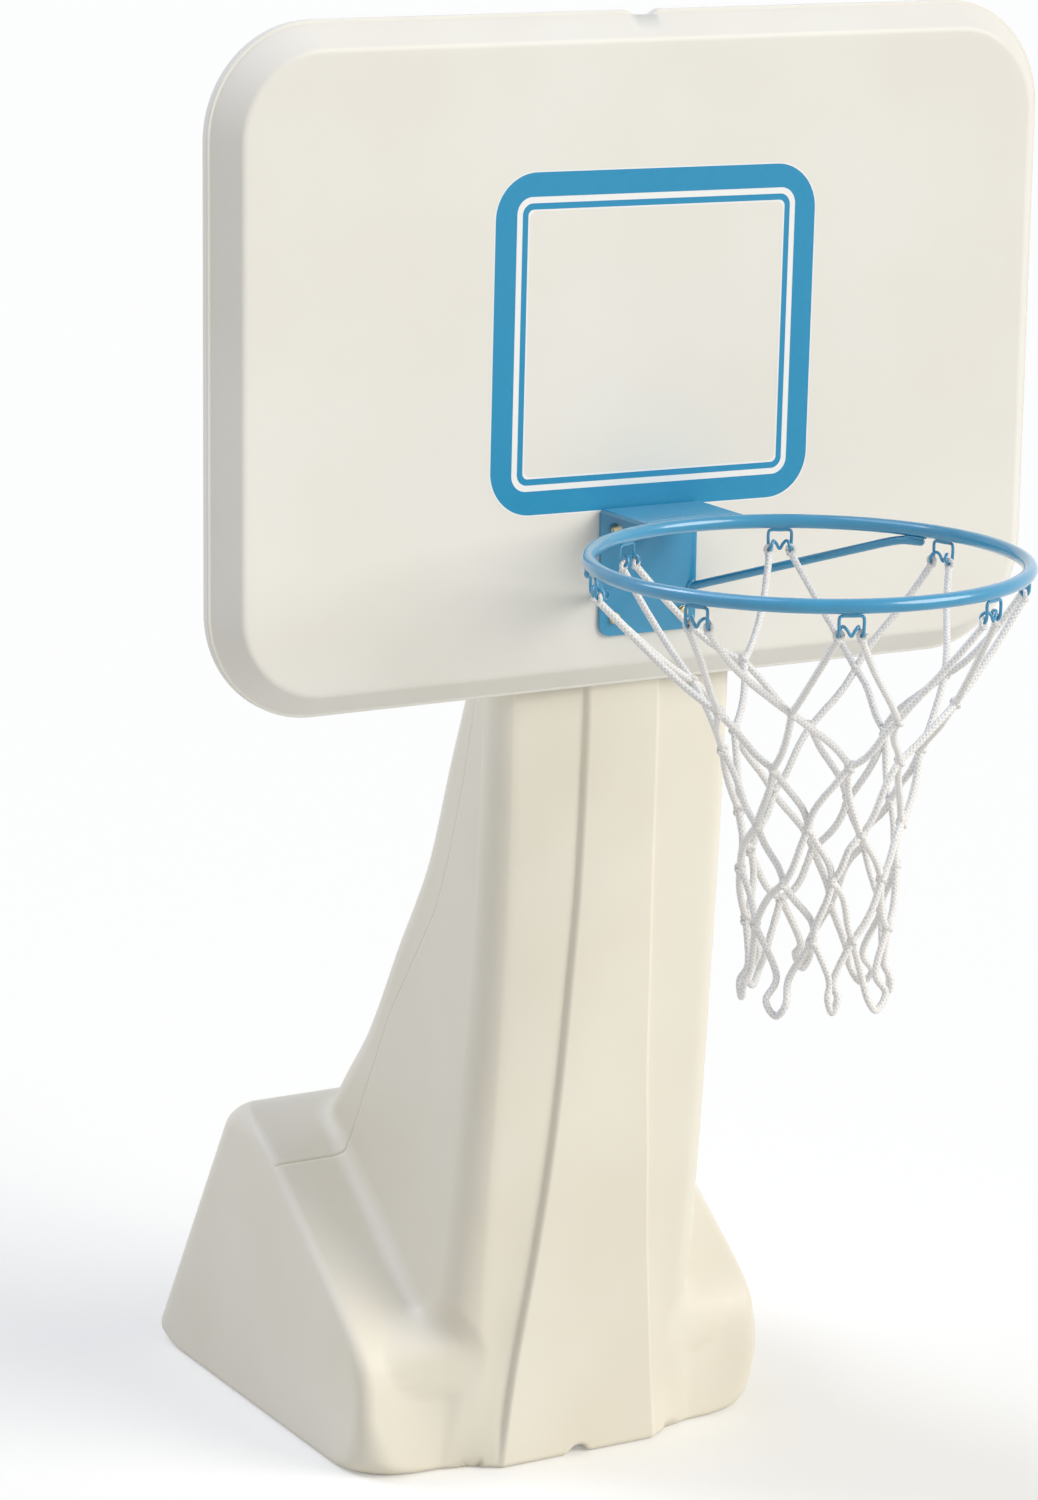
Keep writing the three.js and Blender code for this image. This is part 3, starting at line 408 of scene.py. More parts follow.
def turned(profile, axis, centre, count=48, closed=False, flats=0.0, lobes=None):
    """Solid of revolution from pairs of radius and place along an axis.

    A third number in a pair is the share of a hexagon: the radius then grows towards the corners
    as half the flats over cos of the angle from the nearest flat, up to the given radius. lobes is
    a pair of count and depth for a scalloped rim.
    """
    rows = np.array([(*pair, 0.0)[:3] for pair in profile], float)
    angle = full_turn(count)
    radius = np.repeat(rows[:, :1], count, 1)
    if flats:
        hexagon = flats / 2 / np.cos((angle + math.pi / 6) % (math.pi / 3) - math.pi / 6)
        radius = np.where(rows[:, 2:] > 0, np.minimum(hexagon, radius), radius)
    if lobes:
        radius = radius - rows[:, 2:] * lobes[1] / 2 * (1 - np.cos(lobes[0] * angle))
    side, rise = radius * np.cos(angle), radius * np.sin(angle)
    along = rows[:, 1:2]
    order = {"x": (along, side, rise), "y": (side, along, rise), "z": (side, rise, along)}[axis]
    shift = {"x": (0, *centre), "y": (centre[0], 0, centre[1]), "z": (*centre, 0)}[axis]
    return shell_of(stack(*order) + np.array(shift, float), closed)


# %% Helper: rod, wire and cord
def curve(points, count):
    """Catmull-Rom curve through points, which may be one path or many at once."""
    p = np.asarray(points, float)
    before, after = 2 * p[..., :1, :] - p[..., 1:2, :], 2 * p[..., -1:, :] - p[..., -2:-1, :]
    p = np.concatenate([before, p, after], -2)
    place = np.linspace(0, p.shape[-2] - 3, count)
    k = np.minimum(place.astype(int), p.shape[-2] - 4)
    t = (place - k)[:, None]
    a, b, c, d = (p[..., k + j, :] for j in range(4))
    return b + t / 2 * (c - a + t * (2 * a - 5 * b + 4 * c - d + t * (3 * (b - c) + d - a)))


def unit(vectors):
    """Vectors over their own lengths."""
    return vectors / np.maximum(np.linalg.norm(vectors, axis=-1, keepdims=True), 1e-9)


def square_to(vectors, tangent):
    """Vectors without their part along a tangent, at length one."""
    return unit(vectors - (vectors * tangent).sum(-1, keepdims=True) * tangent)


def round_ends(paths, radius, steps=5):
    """Paths and radii with half a ball at each end: places r sin a past it, radii r cos a."""
    a = np.linspace(1, 0, steps, endpoint=False) * math.pi / 2 * 0.96
    past, thin = (radius * np.sin(a))[:, None], radius * np.cos(a)
    first, last = paths[..., :1, :], paths[..., -1:, :]
    start = first + unit(first - paths[..., 1:2, :]) * past
    end = last + unit(last - paths[..., -2:-1, :]) * past[::-1]
    radii = np.concatenate([thin, np.full(paths.shape[-2], radius), thin[::-1]])
    return np.concatenate([start, paths, end], -2), radii


def swept(paths, radii, first, sides=12, closed=False, width=1.0):
    """Tubes along paths, with a UV pair for each point: once round, and the length in widths.

    Across each path's tangent lies a circle. Its first direction loses, step by step, its part
    along the new tangent, so that the tube doesn't twist. A closed path's frames come from the
    same fixed direction at each step.
    """
    first = np.asarray(first, float)
    if closed:
        tangent = unit(np.roll(paths, -1, -2) - np.roll(paths, 1, -2))
        side = square_to(first, tangent)
    else:
        tangent, side = unit(np.gradient(paths, axis=-2)), np.empty_like(paths)
        for row in range(paths.shape[-2]):
            first = square_to(first, tangent[..., row, :])
            side[..., row, :] = first
    side, rise = side[..., None, :], np.cross(tangent, side)[..., None, :]
    angle = full_turn(sides)[:, None]
    radii = np.broadcast_to(radii, paths.shape[:-1])[..., None, None]
    grids = paths[..., None, :] + radii * (np.cos(angle) * side + np.sin(angle) * rise)
    steps = np.linalg.norm(np.diff(paths, axis=-2), axis=-1)
    length = np.concatenate([0 * steps[..., :1], np.cumsum(steps, -1)], -1) / width
    lay = stack(angle[:, 0] / (2 * math.pi), length[..., None])
    shells = [shell_of(grid, closed) for grid in grids.reshape(-1, *grids.shape[-3:])]
    lays = list(lay.reshape(len(shells), -1, 2))
    if not closed:
        lays = [np.vstack([pairs, pairs[:1], pairs[-1:]]) for pairs in lays]
    return shells, lays


print("helpers for plates, turned parts and wires are ready")

# %% [markdown]
# ## The stand's tracks
# The column's front, rear, sides and rib are drawn at fifteen heights. A plain spline would swing
# past the flat stretches behind the board, where the bolts' plate seats. A monotone cubic keeps
# them flat: its slope at a level is the harmonic mean of the slopes beside it, or none where they
# differ in sign.

# %% Monotone tracks by height
def monotone(heights, values, at):
    """Cubic through levels whose slopes never overshoot.

    The slope at a level is 2ab / (a + b) of the slopes on its two sides, and zero where ab is not
    positive. Between levels the value is the Hermite blend of the two values and two slopes.
    """
    h = np.diff(heights)
    slope = np.diff(values) / h
    product, total = slope[:-1] * slope[1:], slope[:-1] + slope[1:]
    inner = np.where(product > 0, 2 * product / np.where(total == 0, 1, total), 0)
    bend = np.concatenate([[slope[0]], inner, [slope[-1]]])
    k = np.clip(np.searchsorted(heights, at, side="right") - 1, 0, len(h) - 1)
    t = (at - heights[k]) / h[k]
    start = values[k] * (1 + 2 * t) * (1 - t) ** 2 + bend[k] * h[k] * t * (1 - t) ** 2
    return start + values[k + 1] * t * t * (3 - 2 * t) + bend[k + 1] * h[k] * t * t * (t - 1)


LEVELS = np.array([0, .14, .27, .39, .51, .63, .76, .88, .97, 1]) * BOARD_BOTTOM
NECK_LEVELS = BOARD_BOTTOM + np.array([.15, .56, .93, .985, 1]) * NECK_HEIGHT
LEAD = np.array([0, .2, .385, .545, .68, .8, .905, .97] + 7 * [1]) * COLUMN_LEAD
HALF = np.array([1.12, 1.1, 1.08, 1.06, 1.04, 1.02, 1.01, 1, 1, 1, .97, .9, .8, .76, .66])
DEPTH = np.array([1.05, 1.08, 1.03, .93, .74, .6, .435, .34, .255, .222]) * COLUMN_DEPTH
DEPTH = np.concatenate([DEPTH, np.array([1, 1, .7, .66, .5]) * NECK_DEPTH])
RIB = np.array([2.25, 1.96, 1.65, 1.43, 1.25, 1.15, 1.05, 1.02] + 7 * [1]) * RIB_WIDTH / 2
STAND = np.array([1, .7, .63, .6, .5, .45, .42] + 8 * [.4]) * RIB_STAND
TRACKS = {"lead": LEAD, "half": HALF * COLUMN_WIDTH / 2, "depth": DEPTH, "rib": RIB, "stand": STAND}

# %% Table of the tracks, one row a millimetre, with ten to spare at each end
TABLE_Z = np.arange(-10.0, NECK_TOP + 11.0)
ALL_LEVELS = np.concatenate([LEVELS, NECK_LEVELS])
TABLE = {key: monotone(ALL_LEVELS, values, np.clip(TABLE_Z, 0, NECK_TOP))
         for key, values in TRACKS.items()}


def track(key, z):
    """One of the column's tracks at any heights, read from the table."""
    return np.interp(z, TABLE_Z, TABLE[key])


def incline(key, z):
    """Slope of a track at any heights, over 2 mm to each side."""
    return (track(key, z + 2) - track(key, z - 2)) / 4


print("column at the board's bottom edge:", 2 * track("half", BOARD_BOTTOM), "by",
      track("depth", BOARD_BOTTOM), "mm")

# %% [markdown]
# ## The stand as a rule for inside and outside
# The tank, the column and the rib run into each other over soft fillets, which a loft of each can't
# give. So the stand is also written as a function that is negative inside the plastic and positive
# outside, close to the real distance. Joining two bodies by a rounded union leaves a fillet between
# them, and cutting by a rounded intersection leaves a rounded edge.

# %% Rounded cuts and unions
def cut_round(a, b, r):
    """Intersection of two bodies with its edge rounded to r: min(max(a, b), -r) plus the length
    of the positive parts of r + a and r + b."""
    inner = np.minimum(np.maximum(a, b), -r)
    return inner + np.hypot(np.maximum(r + a, 0), np.maximum(r + b, 0))


def join_round(a, b, r):
    """Union of two bodies with a fillet of r: the intersection of their outsides, turned round."""
    return -cut_round(-a, -b, r)


def soft_step(value, low, high):
    """Smooth step from 0 to 1: t squared times 3 minus 2t."""
    t = np.clip((value - low) / (high - low), 0, 1)
    return t * t * (3 - 2 * t)


# %% Sizes of the tank and the column by height
EDGE, EDGE_LOSS, FOOT_EASE, TANK_ROUND, NECK_ROUND = 50, 22, 44, 34.0, 14.0
SWELL_SIDE, SWELL_RISE = (115, 225), (105, 210)


def tank_front(z):
    """The tank's front: upright below the ridge's foot, sloping back above it, eased over 44 mm."""
    run = (z - RIDGE_FOOT) / RIDGE_SLOPE
    return BASE_FRONT + (run + np.hypot(run, FOOT_EASE)) / 2


def tank_half(z):
    """Half width of the tank, which tapers evenly up to the shoulder."""
    return BASE_SIDE - TAPER * z / SHOULDER


def tank_radii(z):
    """Radii of the tank's upright edges: the front from 50 to 16, the rear from 28 to 40."""
    return EDGE - 34 * soft_step(z, 0, 90), 28 + 12 * np.clip(z / SHOULDER, 0, 1)


def column_edge(z):
    """Radius of the column's upright edges where it is deep: from 50 down to 28 at the board."""
    return EDGE - EDGE_LOSS * np.clip(z / BOARD_BOTTOM, 0, 1)


def column_sizes(z):
    """Front, rear, half width and edge radius of the column."""
    front, depth = BASE_FRONT - track("lead", z), track("depth", z)
    return front, front + depth, track("half", z), np.minimum(column_edge(z), depth * 0.42)


# %% Tank, column and rib
def swollen_front(x, z):
    """The tank's front with a swell that meets the column's: full behind it, gone past 225 mm.

    The swell is a smooth step in x times one in height, which ends where the shelf begins.
    """
    lead = BASE_FRONT - track("lead", z) - tank_front(z)
    swell = (1 - soft_step(np.abs(x), *SWELL_SIDE)) * (1 - soft_step(z, *SWELL_RISE))
    return tank_front(z) + lead * swell


def tank_field(x, y, z):
    """Tank: sides, front and rear cut with their edge radii, then by the top."""
    run = (z - RIDGE_FOOT) / RIDGE_SLOPE
    lean = (1 + run / np.hypot(run, FOOT_EASE)) / 2 / RIDGE_SLOPE
    front = (swollen_front(x, z) - y) / np.hypot(1, lean)
    slope = REAR_RUN / SHOULDER
    rear = (y - BASE_REAR + z * slope) / math.hypot(1, slope)
    front_radius, rear_radius = tank_radii(z)
    body = cut_round(np.abs(x) - tank_half(z), front, front_radius)
    return cut_round(cut_round(body, rear, rear_radius), z - SHOULDER, TANK_ROUND)


def column_field(x, y, z):
    """Column and neck: sides, leaning front and curved rear, each over the length of its slope."""
    front_y, rear_y, half, radius = column_sizes(z)
    front = (front_y - y) / np.hypot(1, incline("lead", z))
    rear = (y - rear_y) / np.hypot(1, incline("depth", z) - incline("lead", z))
    body = cut_round(cut_round(np.abs(x) - half, front, radius), rear, radius)
    return cut_round(body, z - NECK_TOP, NECK_ROUND)


RIB_ROUND, RIB_ROOT, RIB_END, RIB_CRISP, RAMP = 5.0, 30, 4, 7.0, 52.0
FOOT_RISE, FOOT_FLARE, RIB_JOIN, RAMP_JOIN, RAMP_MARGIN = (0, 70), 9, 2.5, 10.0, 6
SPILL, SPILL_RISE, FILLET_START, FILLET_GROWTH, FILLET_RISE = 60, (0, 200), 0.5, 23, (115, 215)
FLOOR_ROUND, CORNER_GROWTH, CORNER_SIDE, CORNER_FRONT = 8.0, 26, (200, BASE_SIDE), (215, 298)


def rib_field(x, y, z, sunk, lean):
    """Rib: a flat face in front of the column, sunk by some mm, with rounded edges and flanks that
    lean out by some mm down to the column's front.
    """
    front_y = BASE_FRONT - track("lead", z)
    stand = track("stand", z) - sunk
    flank = np.abs(x) - track("rib", z) - lean * (np.minimum(y - front_y, 0) + stand) / stand
    flank = flank * stand / np.hypot(stand, lean)
    body = cut_round(front_y - stand - y, flank, np.minimum(RIB_ROUND, stand * 0.6))
    return np.maximum(np.maximum(body, y - front_y - RIB_ROOT), z - NECK_TOP + RIB_END)


def crisp(z):
    """Height of the rib's own flank above the ramp beside it: 7 mm, a quarter at the floor."""
    return RIB_CRISP * (0.25 + 0.75 * soft_step(z, *FOOT_RISE))


def stand_field(p):
    """The whole stand: rounded unions of tank, column and rib, cut by the floor.

    A wide ramp beside the rib takes all of its stand but the crisp last part. It ends 6 mm before
    the column's corner begins, but may run on below 200 mm. The floor's edge is rounded to 8 mm,
    and to 34 at the four corners.
    """
    x, y, z = p[..., 0], p[..., 1], p[..., 2]
    fillet = FILLET_START + FILLET_GROWTH * soft_step(z, *FILLET_RISE)
    body = join_round(tank_field(x, y, z), column_field(x, y, z), fillet)
    panel = track("half", z) - column_edge(z) - track("rib", z)
    room = panel + SPILL * (1 - soft_step(z, *SPILL_RISE)) - RAMP_MARGIN
    body = join_round(body, rib_field(x, y, z, crisp(z), np.minimum(RAMP, room)), RAMP_JOIN)
    flank = RIB_FLANK + FOOT_FLARE * (1 - soft_step(z, *FOOT_RISE))
    body = join_round(body, rib_field(x, y, z, 0, flank), RIB_JOIN)
    ends = soft_step(np.abs(x), *CORNER_SIDE) * soft_step(np.abs(y), *CORNER_FRONT)
    return cut_round(body, -z, FLOOR_ROUND + CORNER_GROWTH * ends)


heart_value = float(stand_field(np.array([0.0, 0.0, 150.0])))
print("field at the tank's heart:", round(heart_value, 1), "mm")

# %% [markdown]
# ## Laying a net of points on the stand
# A mesh from a plain voxel scan would have ragged edges. Here the grid follows the shape instead:
# its columns run along the rib's edges, the rounded corners and the parting line of the mould, and
# its rows climb from the floor up the tank, across the shelf beside the column and up to the neck.
# First each point is placed near the surface from the outlines, then it slides on to it.

# %% Columns of the grid, from the middle of the front round to the middle of the rear
def share_list(count, power=1.0, closed=False):
    """Shares from 0 to 1, or just under it, spaced by a power."""
    return np.linspace(0, 1, count, endpoint=closed) ** power


SECTIONS = [("face", 18, 1.3), ("flank", 16, 1), ("panel", 10, 1), ("front corner", 26, 1),
            ("side front", 20, 1), ("parting", 8, 1), ("side rear", 16, 1), ("rear corner", 14, 1),
            ("rear", 12, 1)]
FRONT_CORNER, PARTING, REAR = 3, 5, 8
PART = np.concatenate([np.full(count, i) for i, (_, count, _) in enumerate(SECTIONS)])
SHARE = np.concatenate([share_list(count, power) for _, count, power in SECTIONS])
PART, SHARE = np.append(PART, REAR), np.append(SHARE, 1.0)
PARTING_Z = np.array([0, 340, 533, 684, 754, 853, 958, 1100, 1390.0])
PARTING_Y = np.array([-45, -45, -142, -247, -276, -307, -335, -347, -347.0])
print(len(PART), "columns on each half")


# %% Outline from its sizes
LIP, GROOVE_HALF = 6, 3.0
LEAVE, TURN_IN = 0.4, 0.55


def half_outline(corner, start, rear, half, rear_radius, parting, z):
    """Points of half an outline by section: rib face, flank, panel, corner, side, corner, rear.

    Every size is an array over the grid, so each point has its own. The front three sections are
    always the column's and start on the ramp. Corners are quarter circles, and the others are
    straight.
    """
    s, rib, stand = SHARE, track("rib", z), track("stand", z)
    front, _, column, edge = column_sizes(z)
    flank, panel = rib - LIP + s * (RIB_FLANK + 2 * LIP), rib + RIB_FLANK + LIP
    panel = panel + s * (column - edge - panel)
    raised = stand - crisp(z)
    bank = np.clip(1 - (flank - rib) / RIB_FLANK, 0, 1)
    ramp = np.clip(1 - (panel - rib) / RAMP, 0, 1)
    side, angle = half - rear_radius, s * math.pi / 2
    before, after, end = parting - GROOVE_HALF, parting + GROOVE_HALF, rear - rear_radius
    x = np.choose(PART, [s * (rib - LIP), flank, panel, corner[0], half, half, half,
                         half - rear_radius * (1 - np.cos(angle)), side * (1 - s)])
    y = np.choose(PART, [front - stand, front - np.maximum(stand * bank, raised),
                         front - raised * ramp, corner[1], start + s * (before - start),
                         before + 2 * GROOVE_HALF * s, after + s * (end - after),
                         rear - rear_radius * (1 - np.sin(angle)), rear])
    return x, y


def tank_points(z):
    """Half outline of the tank: its corner runs off the column's corner, along the front, round.

    Up to a share of 0.4 it turns off the column, from 0.55 on it turns round the tank's edge, and
    between the two it is straight.
    """
    front, _, column, radius = column_sizes(z)
    half = tank_half(z)
    leave, turn = SHARE / LEAVE * math.pi / 2, (SHARE - TURN_IN) / (1 - TURN_IN) * math.pi / 2
    between = (SHARE - LEAVE) / (TURN_IN - LEAVE)
    spans = [SHARE < LEAVE, SHARE < TURN_IN]
    x = np.select(spans, [column - radius * (1 - np.sin(leave)),
                          column + between * (half - EDGE - column)],
                  half - EDGE * (1 - np.sin(turn)))
    y = np.select(spans, [np.minimum(front + radius * (1 - np.cos(leave)), BASE_FRONT),
                          BASE_FRONT + 0 * z], BASE_FRONT + EDGE * (1 - np.cos(turn)))
    rear = BASE_REAR - z * REAR_RUN / SHOULDER
    return half_outline((x, y), BASE_FRONT + EDGE, rear, half, tank_radii(z)[1], PARTING_Y[0], z)


def column_points(z):
    """Half outline of the column at each point's own height."""
    front, rear, half, radius = column_sizes(z)
    angle = SHARE * math.pi / 2
    corner = half - radius * (1 - np.sin(angle)), front + radius * (1 - np.cos(angle))
    parting = np.interp(z, PARTING_Z, PARTING_Y)
    return half_outline(corner, front + radius, rear, half, radius, parting, z)


# %% Rows of the grid
FIRST_GUESS, GUESS_ROUNDS = 250.0, 14
RIDGE_LOW, RIDGE_CORNER, FOOT_LOW = 135.0, 188.0, 172.0


def ridge_heights(points_at, low, high):
    """Where the shelf meets an outline: the slope's height at each point, found in a few rounds.

    Each round goes half of the way. The front sections never meet the shelf and get one height,
    and the corner runs between.
    """
    z = np.full(PART.shape, FIRST_GUESS)
    for _ in range(GUESS_ROUNDS):
        on_slope = RIDGE_FOOT + (points_at(z)[1] - BASE_FRONT) * RIDGE_SLOPE
        z = 0.5 * z + 0.5 * np.clip(on_slope, low, SHOULDER)
    turn = 1 - np.cos(np.clip((SHARE - TURN_IN) / (1 - TURN_IN), 0, 1) * math.pi / 2)
    corner = low + (high - low) * (0.25 * np.clip(SHARE / TURN_IN, 0, 1) + 0.75 * turn)
    return np.where(PART < FRONT_CORNER, low, np.where(PART == FRONT_CORNER, corner, z))


ridge_z = ridge_heights(tank_points, RIDGE_LOW, RIDGE_CORNER)
foot_z = ridge_heights(column_points, FOOT_LOW, FOOT_LOW)
climb = np.concatenate([share_list(14) ** 1.5 * 0.14, 0.14 + share_list(40) * 0.7,
                        0.84 + share_list(14, closed=True) * 0.16])
wall_z = ridge_z * climb[:, None]
wall = stack(*tank_points(wall_z), wall_z)
ridge, foot = wall[-1], stack(*column_points(foot_z), foot_z)
shelf = ridge + (foot - ridge) * share_list(48, closed=True)[1:-1, None, None]
rise = np.concatenate([share_list(24) * 0.1, 0.1 + share_list(96, closed=True) * 0.9])
tower_z = foot_z + (NECK_TOP - foot_z) * rise[:, None]
tower = stack(*column_points(tower_z), tower_z)
floor_shares = np.array([0.02, 0.3, 0.6, 0.8, 0.91, 0.95, 0.985])[:, None, None]
lid_shares = np.array([0.96, 0.9, 0.82, 0.72, 0.55, 0.35, 0.1])[:, None, None]
under = wall[:1] * np.array([1, 1, 0]) * floor_shares
heart = np.array([0, PANEL_Y + 20.0, NECK_TOP])
lid = heart + (tower[-1] - heart) * lid_shares
half_grid = np.concatenate([under, wall, shelf, tower, lid])
left = half_grid[:, -2:0:-1] * np.array([-1, 1, 1])
stand_grid = np.concatenate([half_grid, left], 1)
print("stand grid:", stand_grid.shape[:2])


# %% Settling the points on the surface
LONGEST_STEP, KEPT_ROWS, FIRST_ROUNDS, LATER_ROUNDS = 12, 8, 14, 3
EVENED_TIMES, EVENED_SHARE = 3, 0.3
VALLEY_END, HEAL_FULL, HEAL_REACH, HEAL_ROUNDS, HEAL_SHARE = [178, -290, 150], 26, 62, 260, 0.7


def settle(points, rounds):
    """Newton steps: each point moves by its field value over the length of the field's slope.

    The slope comes from central differences half a millimetre to each side, and a step is at
    most 12 mm long.
    """
    for _ in range(rounds):
        value = stand_field(points)
        sides = [stand_field(points + step) - stand_field(points - step) for step in np.eye(3) / 2]
        slope = np.stack(sides, -1)
        length = np.maximum(np.linalg.norm(slope, axis=-1), 0.2)
        move = np.clip(value, -LONGEST_STEP, LONGEST_STEP) / length
        points = points - move[..., None] * slope / length[..., None]
    return points


def relax(points, amount):
    """Each point moves part of the way to the middle of its four neighbours, ends left alone."""
    around = (np.roll(points, 1, 1) + np.roll(points, -1, 1)) / 2
    along = points.copy()
    along[1:-1] = (points[:-2] + points[2:]) / 2
    middle = (around + along) / 2
    middle[:KEPT_ROWS], middle[-KEPT_ROWS:] = points[:KEPT_ROWS], points[-KEPT_ROWS:]
    return points + amount * (middle - points)


def heal(points, place):
    """Evens the grid near a place on each side: points go a share of the way to their neighbours'
    middle. The share is 0.7 up to 26 mm away and falls smoothly to none at 62 mm.
    """
    away = np.linalg.norm(np.abs(points) * [1, 0, 0] + points * [0, 1, 1] - place, axis=-1)
    near = HEAL_SHARE * (1 - soft_step(away, HEAL_FULL, HEAL_REACH))[..., None]
    for _ in range(HEAL_ROUNDS):
        points = points + near * (relax(points, 1.0) - points)
    return points


settled = settle(stand_grid, FIRST_ROUNDS)
for _ in range(EVENED_TIMES):
    settled = settle(relax(settled, EVENED_SHARE), LATER_ROUNDS)
settled = heal(settled, VALLEY_END)
largest_miss = float(np.abs(stand_field(settled)).max())
print("largest miss:", round(largest_miss, 3), "mm, where the valley's end is healed")

# %% [markdown]
# ## Parting line
# The mould opens along the shelves and up the column's sides, and the plastic keeps a fine line
# there. The grid has eight columns close together along it, so the line is real relief: a groove
# two to three millimetres wide that follows the surface's own normals.

# %% Groove along the parting line
NOTCH_RADIUS, NOTCH_SUNK, NOTCH_FADE = 16, 6, 60
GROOVE, GROOVE_ROWS = np.array([0.2, 0.9, 1.4, 0.9, 0.2]), 12


def grid_normals(points):
    """Unit normals of a closed grid: the cross product of its two directions."""
    around = np.roll(points, -1, 1) - np.roll(points, 1, 1)
    return unit(np.cross(around, np.gradient(points, axis=0)))


def lift_notch(points):
    """Raises the floor and the foot of the rib's face over a cylinder whose middle is sunk.

    The lift is the cylinder's height over each point's own x. It fades to nothing 60 mm up the
    face, and behind the tank's front.
    """
    lift = np.sqrt(np.clip(NOTCH_RADIUS ** 2 - points[..., 0] ** 2, 0, None)) - NOTCH_SUNK
    lift = np.clip(lift, 0, None) * (1 - soft_step(points[..., 2], 0, NOTCH_FADE))
    points[..., 2] += lift * (1 - soft_step(points[..., 1], BASE_FRONT - 6, BASE_FRONT + 2))


lift_notch(settled)
first = int(np.flatnonzero(PART == PARTING)[0]) + 2
columns = np.arange(first, first + len(GROOVE))
row = np.arange(len(settled))[:, None] - len(under) - len(wall)
shallow = soft_step(row, len(shelf), len(shelf) + GROOVE_ROWS)
fade = soft_step(row, -3, 3) * (1 - 0.55 * shallow)
fade = fade * (1 - soft_step(settled[:, [columns[2]], 2], NECK_TOP - 60, NECK_TOP - 30))
normals = grid_normals(settled)
for place in (columns, settled.shape[1] - columns):
    settled[:, place] -= normals[:, place] * (GROOVE * fade)[..., None]
print("parting line:", len(columns), "columns on each side")

# %% Tab, filler neck and drain boss
TAB, TAB_WIDTH, TAB_HEIGHT, TAB_CORNER, TAB_SUNK = 14, 160, 90, 18, 40
TAB_BACK, BOSS_FACE = PANEL_Y - RIB_TOP + TAB, BASE_SIDE + 2


def plate_rows(inner, chamfer, start, thick):
    """Rows of a plate with softened edges: from an inner ring out over the edge and back in."""
    front = [(inner, 0), (8, 0), *chamfer]
    back = [(inset, thick - depth) for inset, depth in reversed(front)]
    return [(inset, start + depth) for inset, depth in front + back]


tab_rows = plate_rows(30, [(1.5, 0), (0.4, 0.4), (0, 1.5)], PANEL_Y - RIB_TOP, TAB)
tab_middle = NECK_TOP + TAB_HEIGHT / 2 - TAB_SUNK
tab = slab(corner_columns(14), TAB_WIDTH, TAB_HEIGHT, TAB_CORNER, tab_rows, (0, tab_middle))
neck = moved([(19, -20), (19, 15), (19.8, 16), (23.2, 16), (24, 15.2), (24, 4), (24.6, 2),
              (26.2, 0.5), (29, -1), (29, -20)], SHOULDER)
boss = moved([(11.3, -24), (11.3, -0.6), (11.9, 0), (24.2, 0), (25, -0.8), (25, -24)], BOSS_FACE)
trim = [shell_of(tab), turned(neck, "z", FILLER, 72, True), turned(boss, "x", DRAIN, 72, True)]
make_piece("stand", [shell_of(settled), *trim], stand_plastic, ["stand_shell"])

# %% [markdown]
# ## Backboard and its target
# The board is a hollow moulding. From the back its edge is a narrow upright band, then a small
# ledge, then a wide bevel that rolls over into the flat face. The target is a film of ink on the
# face: a broad blue band, a pale gap and a thin blue line, set down very slightly turned.

# %% Backboard
BOARD_MIDDLE, BOARD_TOP = BOARD_BOTTOM + BOARD_HEIGHT / 2, BOARD_BOTTOM + BOARD_HEIGHT
NOTCH_DEPTH, NOTCH_HALF = 6, (8, 22)
notch_places = np.array([5, 8, 11, 14, 17, 20, 22, 24]) / (BOARD_WIDTH / 2 - BOARD_CORNER)
board_columns = corner_columns(28, [*-notch_places, *notch_places])
edge = [(3 - 3 * math.sin(a), 3 - 3 * math.cos(a)) for a in np.linspace(0, math.pi / 2, 6)]
band = [(0, 6), (0, 9.5), (0, 11.8), (0.35, 12.65), (1.2, 13), (2.4, 13), (3.2, 13.05),
        (3.6, 13.3), (4.6, 14.4)]
thick = BOARD_BAND + BOARD_BEVEL
roll = soften([(24, 37), (29.4, thick), (42, thick)], 9, 10)
profile = [*((inset, 0) for inset in (340, 220, 126, 60, 24, 8)), *edge, *band, *roll,
           *((inset, thick) for inset in (48, 70, 100, 126, 220, 340))]
rows = [(inset, BOARD_BACK - depth) for inset, depth in profile]
grid = slab(board_columns, BOARD_WIDTH, BOARD_HEIGHT, BOARD_CORNER, rows, (0, BOARD_MIDDLE))
near_top = soft_step(grid[..., 2], BOARD_TOP - 8, BOARD_TOP - 4)
notch = NOTCH_DEPTH * (1 - soft_step(np.abs(grid[..., 0]), *NOTCH_HALF)) * near_top
grid[..., 2] -= notch * (1 - soft_step(BOARD_BACK - grid[..., 1], 12.7, 15))
make_piece("board", [shell_of(grid)], board_plastic, ["backboard"])
print("board:", BOARD_WIDTH, "by", BOARD_HEIGHT, "by", thick, "mm")


# %% Target
TARGET_TURN, TARGET_ASIDE, TARGET_RISE, FILM_BACK = 0.0115, 4.5, 195.5, 0.04
ink_columns = corner_columns(20)


def print_ring(width, height, radius, band, inner_radius, lift):
    """Closed film of ink between two rounded rectangles, its outer face at a lift off the board."""
    outer = rectangle(ink_columns, width, height, radius)
    inner = rectangle(ink_columns, width - 2 * band, height - 2 * band, inner_radius)
    cos, sin = math.cos(TARGET_TURN), math.sin(TARGET_TURN)
    low, high = BOARD_FACE - FILM_BACK, BOARD_FACE - lift
    rows = []
    for outline, y in ((outer, low), (outer, high), (inner, high), (inner, low)):
        x, z = (outline @ np.array([[cos, -sin], [sin, cos]])).T
        rows.append(stack(x + TARGET_ASIDE, y, z + RING_HEIGHT + TARGET_RISE))
    return shell_of(np.array(rows), closed=True)


